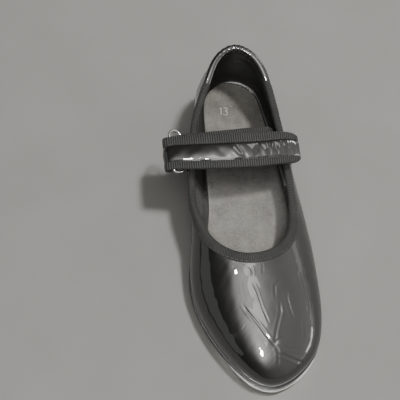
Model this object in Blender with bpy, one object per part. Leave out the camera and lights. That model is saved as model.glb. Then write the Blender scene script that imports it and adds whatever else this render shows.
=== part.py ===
"""Child's tap shoe for the left foot: a patent Mary Jane with a fold-back hook-and-loop strap.

Sizes are in millimetres and are scaled to metres when a mesh is made. The toe points to -Y, the
medial (inner) side of the foot is -X, +Z is up and Z = 0 is the floor that the two taps stand on.
"""

import math

import bmesh
import bpy
import numpy as np
from mathutils import Matrix, Vector

MM = 0.001

# ---- driving dimensions ---------------------------------------------------------------------
GAP = 0.3  # air between solids that touch on the real shoe

TAP_THICKNESS = 2.0
OUTSOLE_THICKNESS = 3.0
OUTSOLE_OVERHANG = 1.0  # outsole edge beyond the upper's feather line
HEEL_BLOCK_HEIGHT = 9.2
HEEL_BREAST_Y = 54.0
HEEL_BREAST_HOLLOW = 5.0
HEEL_CENTRE_Y = 77.0
HEEL_TAPER = 0.97
HEEL_OVERHANG = 0.6
TOE_SPRING = 3.4  # how far the toe is lifted off the floor
SPRING_START_Y = -64.0
TOE_TIP_Y = -102.5
ARCH_START_Y = -24.0  # where the sole leaves the floor towards the heel
ARCH_END_Y = 46.0

UPPER_THICKNESS = 1.2
LASTING_MARGIN = 8.0  # upper turned in under the insole board
BOARD_THICKNESS = 1.5
SOCK_THICKNESS = 1.0
STIFFENER_THICKNESS = 0.8  # heel counter and toe puff
LINING_THICKNESS = 0.8
BINDING_THICKNESS = 0.6
BINDING_WIDTH = 5.2  # grosgrain showing on each face of the topline

STRAP_WIDTH = 21.6
STRAP_CORE_THICKNESS = 1.0
STRAP_TAPE_THICKNESS = 0.4
STRAP_TAPE_WIDTH = 5.0
STRAP_Y = 34.0
BASE_Y = 39.4  # middle of the strap's lower run at x = 0, before its bow is taken off
BASE_SLANT = 0.07
BASE_BOW = 3.3
FLAP_BOW = 3.2  # the flap's middle lies this much nearer the toe than its ends
FLAP_ROLL = 0.1  # slope of the flap's middle, down towards the toe
TIP_LENGTH, TIP_DEPTH = 8.0, 4.4  # rounded corners of the free end
TAPER_LENGTH, REAR_TAPER = 28.0, 1.6  # the rear edge draws in before its corner
PAD_THICKNESS = 0.8  # hook pad and loop pad
PAD_WIDTH = 11.0

RING_WIRE = 1.8
RING_LENGTH = 29.0
RING_Y = 37.7
RING_BAR_SPACING = 7.6
RING_CORNER = 3.6
RING_INNER_BAR = (-36.0, 38.4)  # x, z of the bar that the tab holds
RING_TILT = 22.0  # degrees that the outer bar is raised over the inner one
TAB_WIDTH = 17.0
TAB_THICKNESS = 1.0
FOLD_PLAY = 1.4  # air between the ring's wire and the strap folded round it
FLAP_AXIS = (-46.7, 39.5)  # x, z that the flap turns about as the fold opens out

SCREW_HEAD_RADIUS = 2.5
SCREW_HEAD_HEIGHT = 0.9
SCREW_SHANK_RADIUS = 1.1
SCREW_LENGTH = 4.4

# Stations round the upper, from the middle of the heel along the medial side to the toe and back
# along the lateral side. Each holds the feather point x, y; the topline point x, y, z; then how
# the wall between them bends: rise and outward swell at the bottom, and how far the top handle
# reaches back towards the feather line, swells outward and drops.
UPPER_STATIONS = (
    (0.0, 100.0, 0.0, 96.5, 59.0, 15.0, 4.0, 0.0, 4.5, 13.0),
    (-17.0, 92.5, -11.8, 90.0, 57.5, 15.0, 3.6, 0.0, 3.8, 13.0),
    (-23.2, 77.0, -19.0, 76.0, 53.0, 14.0, 3.6, 0.0, 3.4, 12.0),
    (-24.0, 56.0, -27.5, 56.0, 44.5, 12.0, 3.6, 0.0, 2.4, 9.0),
    (-25.8, 33.0, -30.8, 36.0, 40.5, 10.0, 1.4, 0.0, 1.6, 8.0),
    (-27.5, 8.0, -33.2, 13.0, 33.5, 9.0, 2.2, 0.0, 1.6, 7.0),
    (-33.5, -17.0, -30.8, -1.5, 31.5, 9.0, 2.8, 0.1, 2.0, 7.0),
    (-35.5, -43.0, -25.2, -14.2, 32.5, 12.0, 3.0, 0.35, 0.0, 6.0),
    (-27.0, -68.0, -16.6, -23.3, 34.5, 16.0, 3.0, 0.5, 0.0, 6.5),
    (-13.0, -88.6, -8.7, -27.6, 36.0, 18.5, 3.0, 0.6, 0.0, 8.0),
    (5.6, -99.6, -0.9, -28.8, 36.5, 19.0, 2.5, 0.64, 0.0, 9.0),
    (26.8, -88.6, 6.7, -27.8, 36.0, 18.5, 3.4, 0.6, 0.0, 8.0),
    (36.6, -70.0, 14.4, -24.4, 34.5, 16.0, 3.8, 0.5, 0.0, 6.5),
    (39.0, -43.0, 21.8, -16.8, 32.5, 12.0, 4.0, 0.35, 0.0, 6.0),
    (37.8, -15.0, 26.3, -4.0, 31.5, 9.0, 3.5, 0.1, 3.5, 7.0),
    (34.2, 10.0, 27.0, 13.0, 34.0, 9.0, 3.0, 0.0, 3.5, 8.0),
    (30.2, 33.0, 25.4, 36.0, 41.0, 10.0, 2.2, 0.0, 2.2, 9.0),
    (26.8, 56.0, 23.0, 56.0, 45.0, 12.0, 2.8, 0.0, 2.4, 10.0),
    (23.6, 77.0, 18.6, 76.0, 53.0, 14.0, 3.2, 0.0, 3.2, 12.0),
    (17.0, 92.5, 11.8, 90.0, 57.5, 15.0, 3.6, 0.0, 3.8, 13.0),
)
STATIONS = len(UPPER_STATIONS)
TOE_STATION = 10
MEDIAL_SEAM, LATERAL_SEAM = 4.0, 16.0  # side seams, under the strap
MEDIAL_COLLAR, LATERAL_COLLAR = 2.0, 18.0  # where the grosgrain gives way to the patent collar
WALL_ROWS = (0.0, 0.14, 0.3, 0.46, 0.62, 0.76)  # then the binding's lower edge and the topline


# ---- small tools ----------------------------------------------------------------------------
def clear_scene():
    for obj in list(bpy.data.objects):
        bpy.data.objects.remove(obj, do_unlink=True)


def material(name, colour, roughness, metallic=0.0):
    made = bpy.data.materials.new(name)
    made.use_nodes = True
    shader = made.node_tree.nodes["Principled BSDF"]
    shader.inputs["Base Color"].default_value = (*colour, 1.0)
    shader.inputs["Roughness"].default_value = roughness
    shader.inputs["Metallic"].default_value = metallic
    made.diffuse_color = (*colour, 1.0)
    return made


def add_object(name, points, faces, finish):
    """One closed solid from points in millimetres. Its faces are turned to point out."""
    mesh = bpy.data.meshes.new(name)
    mesh.from_pydata([tuple(p * MM for p in point) for point in points], [], faces)
    shape = bmesh.new()
    shape.from_mesh(mesh)
    bmesh.ops.recalc_face_normals(shape, faces=shape.faces)
    shape.to_mesh(mesh)
    shape.free()
    mesh.materials.append(finish)
    mesh.shade_smooth()
    mesh.set_sharp_from_angle(angle=math.radians(40))
    obj = bpy.data.objects.new(name, mesh)
    bpy.context.scene.collection.objects.link(obj)
    obj.parent = bpy.data.objects["shoe_frame"]
    return obj


def tube(sections, closed=False):
    """Points and side faces of a skin that passes through the sections in turn."""
    count, size = len(sections), len(sections[0])
    points = [tuple(p) for section in sections for p in section]
    faces = []
    for i in range(count if closed else count - 1):
        here, there = i * size, ((i + 1) % count) * size
        for j in range(size):
            k = (j + 1) % size
            faces.append((here + j, here + k, there + k, there + j))
    return points, faces


def ladder(first, size):
    """An end face in rungs, for a section whose two halves run side by side."""
    last = first + size - 1
    return [
        (first + j, first + j + 1, last - j - 1, last - j) for j in range(size // 2 - 1)
    ]


def layer(sections):
    """A solid through sections made of an outer row and the inner row in reverse."""
    points, faces = tube(sections)
    size = len(sections[0])
    return points, faces + ladder(0, size) + ladder(len(points) - size, size)


def prism(sections):
    """A solid through sections, with one flat face at each end."""
    points, faces = tube(sections)
    size, total = len(sections[0]), len(points)
    return points, faces + [tuple(range(size)), tuple(range(total - size, total))]


def periodic_spline(values, at):
    """A closed cubic spline through values at 0, 1, 2 ..., read at the places in at."""
    values = np.asarray(values, float)
    count = len(values)
    system = 4 * np.eye(count) + np.roll(np.eye(count), 1, 0) + np.roll(np.eye(count), -1, 0)
    bend = 6 * (np.roll(values, 1, 0) - 2 * values + np.roll(values, -1, 0))
    second = np.linalg.solve(system, bend)
    at = np.asarray(at, float) % count
    low = np.floor(at).astype(int) % count
    high = (low + 1) % count
    t = (at - np.floor(at))[..., None]
    s = 1 - t
    return (
        s * values[low] + t * values[high]
        + ((s**3 - s) * second[low] + (t**3 - t) * second[high]) / 6
    )


def unit(vectors):
    vectors = np.asarray(vectors, float)
    return vectors / np.linalg.norm(vectors, axis=-1, keepdims=True)


def smoothstep(x):
    x = np.clip(x, 0.0, 1.0)
    return x * x * (3 - 2 * x)


# ---- the sole's shape -----------------------------------------------------------------------
def outsole_bottom(y):
    """Height of the outsole's underside: flat at the ball, up to the heel seat and the toe."""
    arch = smoothstep((np.asarray(y) - ARCH_START_Y) / (ARCH_END_Y - ARCH_START_Y))
    spring = np.clip((SPRING_START_Y - y) / (SPRING_START_Y - TOE_TIP_Y), 0, 1.2) ** 2
    at_ball = TAP_THICKNESS + GAP
    return at_ball + (HEEL_BLOCK_HEIGHT + GAP) * arch + TOE_SPRING * spring


# top of the insole board over the outsole's top face
FOOT_FLOOR = GAP + UPPER_THICKNESS + GAP + BOARD_THICKNESS


def outsole_top(y):
    return outsole_bottom(y) + OUTSOLE_THICKNESS


def feather(at, outward=0.0):
    """Plan points of the feather line at those stations, moved outward by a distance."""
    spots = periodic_spline([s[:2] for s in UPPER_STATIONS], at)
    return spots + outward * feather_normal(at)


def feather_normal(at):
    step = 0.02
    ahead = periodic_spline([s[:2] for s in UPPER_STATIONS], np.asarray(at) + step)
    behind = periodic_spline([s[:2] for s in UPPER_STATIONS], np.asarray(at) - step)
    along = unit(ahead - behind)
    return np.stack([along[..., 1], -along[..., 0]], axis=-1)


def steps_after(station):
    """Grid steps between a station and the next: close at the toe and heel, wide on the sides."""
    from_heel = min(station, STATIONS - 1 - station)
    if from_heel >= 8:
        return 5
    return 4 if from_heel in (0, 4, 5) else 3


def all_stations():
    return np.concatenate([i + np.arange(steps_after(i)) / steps_after(i) for i in range(STATIONS)])


def even_stations(steps):
    return np.arange(STATIONS * steps) / steps


def plate(name, outline, bottom, top, finish):
    """A plate over a plan outline, between two heights that vary with y. The outline runs from
    the heel round one side to the toe and back, so rungs join points of equal number."""
    half = len(outline) // 2
    left = [outline[i] for i in range(half + 1)]
    right = [outline[-i % len(outline)] for i in range(half + 1)]
    sections = []
    for a, b in zip(left[1:-1], right[1:-1]):
        low = [(p[0], p[1], float(bottom(p[1]))) for p in (a, (a + b) / 2, b)]
        high = [(p[0], p[1], float(top(p[1]))) for p in (b, (a + b) / 2, a)]
        sections.append(low + high)
    points, faces = tube(sections)
    last = len(sections) - 1
    for end, rung in ((left[0], 0), (left[-1], last)):
        base = rung * 6
        low, high = len(points), len(points) + 1
        points.append((end[0], end[1], float(bottom(end[1]))))
        points.append((end[0], end[1], float(top(end[1]))))
        faces += [
            (base, base + 1, low), (base + 1, base + 2, low),
            (base + 3, base + 4, high), (base + 4, base + 5, high),
            (base + 2, base + 3, high, low), (base + 5, base, low, high),
        ]
    return add_object(name, points, faces, finish)


def hang_on(axis_name, spot, names):
    """Parents solids to an empty on their joint's axis, without moving them."""
    axis = bpy.data.objects.new(axis_name, None)
    bpy.context.scene.collection.objects.link(axis)
    axis.parent = bpy.data.objects["shoe_frame"]
    axis.location = Vector(spot) * MM
    for name in names:
        obj = bpy.data.objects[name]
        obj.data.transform(Matrix.Translation(-axis.location))
        obj.parent = axis


def centre_on_origin(frame):
    """Moves the shoe so that the origin is under the middle of its bounding box."""
    corners = [Vector(c) for o in bpy.data.objects if o.type == "MESH" for c in o.bound_box]
    for i in (0, 1):
        side = [corner[i] for corner in corners]
        frame.location[i] = -(min(side) + max(side)) / 2


def cut(obj, cutter):
    cutter.hide_render = True
    cutter.display_type = "WIRE"
    hole = obj.modifiers.new("hole " + cutter.name, "BOOLEAN")
    hole.operation = "DIFFERENCE"
    hole.solver = "EXACT"
    hole.object = cutter


# ---- the upper's surface --------------------------------------------------------------------
def wall(at, v):
    """The outer surface of the upper: stations at, height shares v (0 feather line, 1 topline)."""
    at, v = np.asarray(at, float), np.asarray(v, float)[..., None]
    row = periodic_spline(UPPER_STATIONS, at)
    normal = feather_normal(at)
    foot, top = row[..., 0:2], row[..., 2:5]
    rise, swell, reach, top_swell, drop = (row[..., i : i + 1] for i in range(5, 10))
    start = np.concatenate([foot, (outsole_top(foot[..., 1]) + GAP)[..., None]], -1)
    first = start + np.concatenate([normal * swell, rise], -1)
    flat = (foot - top[..., :2]) * reach + normal * top_swell
    second = top + np.concatenate([flat, -drop], -1)
    s = 1 - v
    return s**3 * start + 3 * s**2 * v * first + 3 * s * v**2 * second + v**3 * top


def wall_normal(at, v):
    step = 0.01
    v = np.asarray(v, float)
    across = wall(np.asarray(at) + step, v) - wall(np.asarray(at) - step, v)
    up = wall(at, np.minimum(v + step, 1.0)) - wall(at, np.maximum(v - step, 0.0))
    return unit(np.cross(across, up))


def inside(at, v, depth):
    """A point of the wall, a depth below its outer surface (negative is outside it)."""
    depth = np.asarray(depth, float)[..., None]
    return wall(at, v) - wall_normal(at, v) * depth


def share_below_topline(at, distance):
    """The height share that lies a distance below the topline."""
    step = 0.02
    speed = np.linalg.norm(wall(at, np.ones_like(at)) - wall(at, np.ones_like(at) - step), axis=-1)
    return 1 - distance * step / speed


def wall_rows(at, first_share=0.0):
    """Height shares of the wall's grid rows at each station, from first_share up."""
    below = share_below_topline(at, BINDING_WIDTH)
    rows = [np.full_like(at, max(share, first_share)) for share in WALL_ROWS if share >= first_share]
    rows = [np.minimum(row, below - 0.04) for row in rows]
    return np.stack(rows + [below, np.ones_like(at)], axis=1)


def shell_sections(at, shares, outer, inner):
    """Cross-sections of a layer of the wall, between two depths."""
    grid = np.repeat(at[:, None], shares.shape[1], axis=1)
    outer, inner = np.broadcast_to(outer, shares.shape), np.broadcast_to(inner, shares.shape)
    out, back = inside(grid, shares, outer), inside(grid, shares, inner)
    return [list(o) + list(b[::-1]) for o, b in zip(out, back)]


def between(first, last, inset=0.0):
    """Grid stations from first to last, with the ends drawn in by inset."""
    marks = np.concatenate([all_stations() + turn * STATIONS for turn in (-1, 0, 1)])
    inner = marks[(marks > first + 0.1) & (marks < last - 0.1)]
    return np.concatenate([[first + inset], inner, [last - inset]])


def upper_piece(name, at, finish):
    """Part of the patent upper, with its lasting margin turned in under the insole board."""
    sections = []
    for spot, section in zip(at, shell_sections(at, wall_rows(at), 0.0, UPPER_THICKNESS)):
        rows = len(section) // 2
        edge = feather(spot, -LASTING_MARGIN)
        corner = feather(spot, -UPPER_THICKNESS)
        floor = [float(outsole_top(p[1])) + GAP for p in (edge, corner)]
        inner_wall = section[rows:-1]
        section = (
            [(edge[0], edge[1], floor[0])] + section[:rows] + inner_wall
            + [(corner[0], corner[1], floor[1] + UPPER_THICKNESS)]
            + [(edge[0], edge[1], floor[0] + UPPER_THICKNESS)]
        )
        sections.append(section)
    return add_object(name, *layer(sections), finish)


# ---- sub-parts: bottom ----------------------------------------------------------------------
def make_outsole(finish):
    outline = feather(all_stations(), OUTSOLE_OVERHANG)
    return plate("outsole", outline, outsole_bottom, outsole_top, finish)


def trimmed_outline(outward, first_y, last_y):
    """The sole's outline between two cross cuts, as left and right rungs of (x, y)."""
    at = even_stations(8)
    outline = feather(at, outward)
    half = len(outline) // 2
    left, right = outline[: half + 1], np.vstack([outline[half:], outline[:1]])
    ys = np.linspace(first_y, last_y, 9)
    left_x = np.interp(ys, left[::-1, 1], left[::-1, 0])
    right_x = np.interp(ys, right[:, 1], right[:, 0])
    return ys, left_x, right_x


def heel_plan():
    """The heel's outline at the sole: round the back from one corner of the breast to the other,
    then along the breast, which is hollowed towards the heel."""
    rim = [tuple(p) for p in feather(even_stations(8), HEEL_OVERHANG) if p[1] > HEEL_BREAST_Y]
    rim.sort(key=lambda p: math.atan2(p[0], p[1] - HEEL_CENTRE_Y))
    (x0, y0), (x1, y1) = rim[-1], rim[0]
    breast = [
        (x0 + (x1 - x0) * s, y0 + (y1 - y0) * s + HEEL_BREAST_HOLLOW * math.sin(math.pi * s))
        for s in np.linspace(0, 1, 9)[1:-1]
    ]
    return rim + breast


def heel_foot_plan():
    """The same outline drawn in a little towards the heel's middle, as at the floor."""
    return [
        (x * HEEL_TAPER, HEEL_CENTRE_Y + (y - HEEL_CENTRE_Y) * HEEL_TAPER) for x, y in heel_plan()
    ]


def make_heel_block(finish):
    """The low heel, from the tap up to the heel seat of the sole."""
    bottom = [(x, y, TAP_THICKNESS + GAP) for x, y in heel_foot_plan()]
    top = [(x, y, float(outsole_bottom(y)) - GAP) for x, y in heel_plan()]
    return add_object("heel_block", *prism([bottom, top]), finish)


def make_heel_tap(finish):
    """The aluminium plate under the heel."""
    faces = [[(x, y, z) for x, y in heel_foot_plan()] for z in (0.0, TAP_THICKNESS)]
    return add_object("heel_tap", *prism(faces), finish)


def toe_tap_bottom(y):
    return outsole_bottom(y) - GAP - TAP_THICKNESS


def toe_tap_top(y):
    return outsole_bottom(y) - GAP


def make_toe_tap(finish):
    """The aluminium plate under the toe. It stands a little proud of the sole at the tip."""
    rear_y, rear_bow, proud_at_side, proud_at_tip, span = -46.0, 7.0, -0.3, 1.6, 3.3
    at = np.linspace(TOE_STATION - span, TOE_STATION + span, 53)
    reach = smoothstep(1.25 * (1 - np.abs(at - TOE_STATION) / span))
    proud = proud_at_side + (proud_at_tip - proud_at_side) * reach
    outline = feather(at, OUTSOLE_OVERHANG) + feather_normal(at) * proud[:, None]
    outline = outline[outline[:, 1] < rear_y]
    tip = int(np.argmin(outline[:, 1]))
    left, right = outline[: tip + 1], outline[tip:][::-1]
    rungs = []
    for y in np.concatenate([np.linspace(rear_y, -96, 12), [-99, -101]]):
        x0 = np.interp(-y, -left[:, 1], left[:, 0])
        x1 = np.interp(-y, -right[:, 1], right[:, 0])
        shares = np.linspace(0, 1, 7)
        back = rear_bow * np.sin(math.pi * shares) * smoothstep((y + 75) / (rear_y + 75))
        rungs.append([(x0 + (x1 - x0) * s, y - b) for s, b in zip(shares, back)])
    sections = []
    for rung in rungs:
        low = [(x, y, float(toe_tap_bottom(y))) for x, y in rung]
        high = [(x, y, float(toe_tap_top(y))) for x, y in rung[::-1]]
        sections.append(low + high)
    points, faces = tube(sections)
    faces += ladder(0, 14)
    tip_x, tip_y = outline[tip]
    base, wide = (len(sections) - 1) * 14, 7
    low, high = len(points), len(points) + 1
    points.append((tip_x, tip_y, float(toe_tap_bottom(tip_y))))
    points.append((tip_x, tip_y, float(toe_tap_top(tip_y))))
    faces += [(base + j, base + j + 1, low) for j in range(wide - 1)]
    faces += [(base + wide + j, base + wide + j + 1, high) for j in range(wide - 1)]
    faces += [(base + wide - 1, base + wide, high, low), (base + 13, base, low, high)]
    return add_object("toe_tap", points, faces, finish)


TOE_SCREWS = ((-20.0, -62.0), (19.0, -62.0), (-1.0, -86.0))
HEEL_SCREWS = ((-13.5, 68.0), (13.5, 68.0), (0.0, 90.0))


def make_screws(taps, grounds, steel):
    """Three countersunk screws in each tap, with their holes through the tap into the sole."""
    for label, spots, tap, ground, floor in (
        ("toe_tap_screw", TOE_SCREWS, taps[0], grounds[0], toe_tap_bottom),
        ("heel_tap_screw", HEEL_SCREWS, taps[1], grounds[1], lambda y: 0.0),
    ):
        for number, (x, y) in enumerate(spots, 1):
            low = float(floor(y)) + 0.35
            profile = (
                (0.9, low), (SCREW_HEAD_RADIUS, low), (SCREW_HEAD_RADIUS, low + 0.3),
                (SCREW_SHANK_RADIUS, low + SCREW_HEAD_HEIGHT),
                (SCREW_SHANK_RADIUS, low + SCREW_LENGTH - 0.9), (0.25, low + SCREW_LENGTH),
            )
            turned(f"{label}_{number}", profile, x, y, steel)
            hole = (
                (SCREW_HEAD_RADIUS + GAP, low - 2), (SCREW_HEAD_RADIUS + GAP, low + 0.3),
                (SCREW_SHANK_RADIUS + GAP, low + SCREW_HEAD_HEIGHT + 0.2),
                (SCREW_SHANK_RADIUS + GAP, low + SCREW_LENGTH + GAP),
            )
            cutter = turned(f"{label}_{number}_hole", hole, x, y, steel)
            cut(tap, cutter)
            cut(ground, cutter)


def turned(name, profile, x, y, finish, segments=10):
    """A solid of revolution about a vertical line: profile is (radius, z), bottom to top."""
    angles = np.arange(segments) * 2 * math.pi / segments
    rings = [[(x + r * math.cos(a), y + r * math.sin(a), z) for a in angles] for r, z in profile]
    return add_object(name, *prism(rings), finish)


def sock_inset(spots):
    """How far inside the feather line the sock stops: further in at the ball, where the wall
    stands further in too, and on the lateral side."""
    at_ball = 1 - smoothstep((spots[..., 1] + 20.0) / 60.0)
    return 4.5 + 2.0 * at_ball + 1.5 * smoothstep((spots[..., 0] + 8.0) / 16.0)


def sock_outline(at, gap):
    spots = feather(at)
    return spots - feather_normal(at) * (sock_inset(spots) + gap)[..., None]


def make_bottoming(board_finish, sock_finish, filler_finish, steel):
    """Insole board, sock, forefoot filler and steel shank, stacked on the outsole."""
    margin_top = FOOT_FLOOR - BOARD_THICKNESS
    board = feather(all_stations(), -(UPPER_THICKNESS + GAP))
    plate(
        "insole_board", board,
        lambda y: outsole_top(y) + margin_top,
        lambda y: outsole_top(y) + margin_top + BOARD_THICKNESS,
        board_finish,
    )
    sock = sock_outline(all_stations(), GAP)
    sock_floor = FOOT_FLOOR + GAP
    plate(
        "sock", sock,
        lambda y: outsole_top(y) + sock_floor,
        lambda y: outsole_top(y) + sock_floor + SOCK_THICKNESS,
        sock_finish,
    )
    inner = LASTING_MARGIN + 1.2
    strip_of_sole("bottom_filler", -85.0, -8.0, inner, filler_finish)
    make_shank(steel)


def make_shank(steel):
    """The flat steel strip that stiffens the waist, from the heel seat to the ball."""
    left, right, thick = -5.0, 7.0, 1.0
    sections = []
    for y in np.linspace(0.0, 84.0, 12):
        low = float(outsole_top(y)) + GAP
        high = low + thick
        sections.append([(left, y, low), (right, y, low), (right, y, high), (left, y, high)])
    return add_object("shank", *layer(sections), steel)


def strip_of_sole(name, first_y, last_y, margin, finish):
    """A thin layer on the outsole, inside the lasting margin, between two cross cuts."""
    ys, left, right = trimmed_outline(-margin, first_y, last_y)
    sections = []
    for y, x0, x1 in zip(ys, left, right):
        low = float(outsole_top(y)) + GAP
        sections.append([(x0, y, low), (x1, y, low), (x1, y, low + 1.1), (x0, y, low + 1.1)])
    return add_object(name, *layer(sections), finish)


# ---- sub-parts: upper -----------------------------------------------------------------------
def make_upper(patent):
    seam = 0.012  # half the butt joint, in stations
    upper_piece("vamp", between(MEDIAL_SEAM, LATERAL_SEAM, inset=seam), patent)
    upper_piece("quarter_medial", between(0.0, MEDIAL_SEAM, inset=seam), patent)
    upper_piece("quarter_lateral", between(LATERAL_SEAM, STATIONS, inset=seam), patent)


def lining_depth(rows):
    """Depth of the lining at each row: past the stiffeners, but close to the upper in the binding."""
    low = UPPER_THICKNESS + GAP + STIFFENER_THICKNESS + GAP
    high = UPPER_THICKNESS + GAP
    return np.where(np.arange(rows) < rows - 2, low, high)


def lining_piece(name, at, finish):
    """A lining whose foot is turned in over the insole board as far as the sock."""
    shares = wall_rows(at, 0.14)
    outer = lining_depth(shares.shape[1])
    sections = []
    edge = sock_outline(at, 0.0)
    for (x, y), section in zip(edge, shell_sections(at, shares, outer, outer + LINING_THICKNESS)):
        floor = float(outsole_top(y)) + FOOT_FLOOR + GAP
        sections.append([(x, y, floor)] + section + [(x, y, floor + LINING_THICKNESS)])
    return add_object(name, *layer(sections), finish)


def make_linings(textile, synthetic):
    seam = 0.02
    lining_piece("vamp_lining", between(MEDIAL_SEAM + 0.5, LATERAL_SEAM - 0.5, inset=seam), textile)
    lining_piece(
        "quarter_lining",
        between(LATERAL_SEAM - 0.5 - STATIONS, MEDIAL_SEAM + 0.5, inset=seam),
        synthetic,
    )


def stiffener(name, at, shares, finish):
    grid = np.repeat(np.array(shares)[None, :], len(at), axis=0)
    outer = UPPER_THICKNESS + GAP
    sections = shell_sections(at, grid, outer, outer + STIFFENER_THICKNESS)
    return add_object(name, *layer(sections), finish)


def make_stiffeners(finish):
    stiffener("heel_counter", between(-3.0, 3.0), (0.14, 0.3, 0.46, 0.6), finish)
    stiffener(
        "toe_puff", between(TOE_STATION - 2.0, TOE_STATION + 2.0), (0.14, 0.3, 0.42), finish
    )


def binding_piece(name, at, finish):
    """A strip folded over the topline, gripping the upper and its lining."""
    depth = UPPER_THICKNESS + GAP + LINING_THICKNESS
    edge = np.ones_like(at)
    low = share_below_topline(at, BINDING_WIDTH)
    rise = unit(wall(at, edge) - wall(at, low))
    far = GAP + BINDING_THICKNESS
    sections = []
    for i, spot in enumerate(at):
        def place(share, deep, lift):
            return inside(spot, share, deep) + rise[i] * lift

        sections.append([
            place(low[i], -far, 0), place(1.0, -far, GAP), place(1.0, -GAP, far),
            place(1.0, depth + GAP, far), place(1.0, depth + far, GAP),
            place(low[i], depth + far, 0), place(low[i], depth + GAP, 0),
            place(1.0, depth + GAP, GAP), place(1.0, -GAP, GAP), place(low[i], -GAP, 0),
        ])
    return add_object(name, *prism(sections), finish)


def make_bindings(grosgrain, patent):
    end = 0.012
    binding_piece("topline_binding", between(MEDIAL_COLLAR, LATERAL_COLLAR, inset=end), grosgrain)
    binding_piece("heel_collar", between(LATERAL_COLLAR - STATIONS, MEDIAL_COLLAR, inset=end), patent)


# ---- sub-parts: strap, ring and tab ---------------------------------------------------------
def outer_bar():
    """x, z of the ring's free bar, round which the strap folds."""
    tilt = math.radians(RING_TILT)
    return (
        RING_INNER_BAR[0] - RING_BAR_SPACING * math.cos(tilt),
        RING_INNER_BAR[1] + RING_BAR_SPACING * math.sin(tilt),
    )


STRAP_THICKNESS = STRAP_CORE_THICKNESS + 2 * (0.2 + STRAP_TAPE_THICKNESS)
FOLD_RADIUS = RING_WIRE / 2 + FOLD_PLAY + STRAP_THICKNESS / 2
FOLD_START, FOLD_END = -48.0, -252.0  # degrees round the outer bar, from under it to over it

# Middle line of the flap, x and z, from the top of the fold to the free tip.
FLAP_LINE = ((-33.0, 47.4), (-19.0, 49.4), (-4.0, 49.8), (11.0, 48.5), (23.5, 46.6), (33.8, 41.0))
# Middle line of the strap's lower run, from the stitched end inside the lateral wall to the ring.
BASE_LINE = (
    (19.8, 33.2), (19.3, 37.6), (16.4, 41.8), (8.5, 44.8), (-4.0, 46.1), (-18.0, 46.0),
    (-29.0, 44.9), (-38.0, 42.0),
)


def on_fold(degrees, radius=FOLD_RADIUS):
    x, z = outer_bar()
    angle = math.radians(degrees)
    return (x + radius * math.cos(angle), z + radius * math.sin(angle))


def open_spline(points, count, trim):
    """Even points of a natural cubic spline through points in x-z, less trim = (start, end)."""
    points = np.asarray(points, float)
    knots = np.concatenate([[0], np.cumsum(np.linalg.norm(np.diff(points, axis=0), axis=1))])
    n = len(points)
    gaps = np.diff(knots)
    system, bend = np.eye(n), np.zeros_like(points)
    for i in range(1, n - 1):
        system[i, i - 1 : i + 2] = gaps[i - 1], 2 * (gaps[i - 1] + gaps[i]), gaps[i]
        slopes = np.diff(points[i - 1 : i + 2], axis=0) / gaps[i - 1 : i + 1, None]
        bend[i] = 6 * (slopes[1] - slopes[0])
    second = np.linalg.solve(system, bend)
    at = np.linspace(trim[0], knots[-1] - trim[1], count)
    i = np.clip(np.searchsorted(knots, at) - 1, 0, n - 2)
    h = gaps[i][:, None]
    t = ((at - knots[i]) / gaps[i])[:, None]
    s = 1 - t
    cubic = ((s**3 - s) * second[i] + (t**3 - t) * second[i + 1]) * h**2 / 6
    return s * points[i] + t * points[i + 1] + cubic


def over_instep(x):
    """1 over the middle of the instep and 0 at the ring and beyond the lateral topline."""
    return 1 - min(1.0, abs(x + 5.0) / 36.0) ** 2


def base_y(x, share):
    return BASE_Y + BASE_SLANT * x - BASE_BOW * over_instep(x)


def flap_y(x, share):
    return STRAP_Y - FLAP_BOW * over_instep(x)


def fold_y(x, share):
    start, end = on_fold(FOLD_START), on_fold(FOLD_END)
    return base_y(start[0], 0) * (1 - share) + flap_y(end[0], 0) * share


def narrowed(across, left):
    """A place across the strap, drawn in where the free end's corners are rounded and where the
    flap's rear edge tapers towards them."""
    keep, edge = STRAP_WIDTH / 2 - STRAP_TAPE_WIDTH, STRAP_WIDTH / 2
    round_off = max(0.0, 1 - left / TIP_LENGTH)
    depth = 1 - math.sqrt(1 - round_off**2)
    if across < 0:
        depth *= TIP_DEPTH
    else:
        depth = depth * (TIP_DEPTH - REAR_TAPER) + REAR_TAPER * max(0.0, 1 - left / TAPER_LENGTH)
    beyond = max(0.0, abs(across) - keep)
    return math.copysign(abs(across) - beyond * depth / (edge - keep), across)


def ribbon(name, line, outline, finish, middle, roll=0.0, rounded=False):
    """A strip along a line in x, z, whose section is an outline of (across, up) and whose middle
    lies at middle(x, share of its length). It may roll over the instep and end rounded."""
    line = np.asarray(line)
    along = unit(np.gradient(line, axis=0))
    up = np.stack([-along[:, 1], along[:, 0]], axis=-1)
    sections = []
    for i, ((x, z), (ux, uz)) in enumerate(zip(line, up)):
        y = middle(x, i / (len(line) - 1))
        left = math.dist((x, z), line[-1]) if rounded else TAPER_LENGTH
        section = []
        for across, lift in outline:
            across = narrowed(across, left)
            lean = roll * over_instep(x) * across
            section.append((x + ux * lift, y + across, z + uz * lift + lean))
        sections.append(section)
    return add_object(name, *layer(sections), finish)


def rectangle(low, high, bottom, top):
    return ((low, bottom), (high, bottom), (high, top), (low, top))


def tape(side):
    """The grosgrain folded over one edge of the strap, in section."""
    edge = STRAP_WIDTH / 2
    inner = edge - STRAP_TAPE_WIDTH
    near = edge - STRAP_TAPE_THICKNESS - 0.1
    core = STRAP_CORE_THICKNESS / 2 + 0.2
    skin = core + STRAP_TAPE_THICKNESS
    section = (
        (inner, -skin), (edge, -skin), (edge, skin), (inner, skin),
        (inner, core), (near, core), (near, -core), (inner, -core),
    )
    return [(side * across, lift) for across, lift in section]


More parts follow.
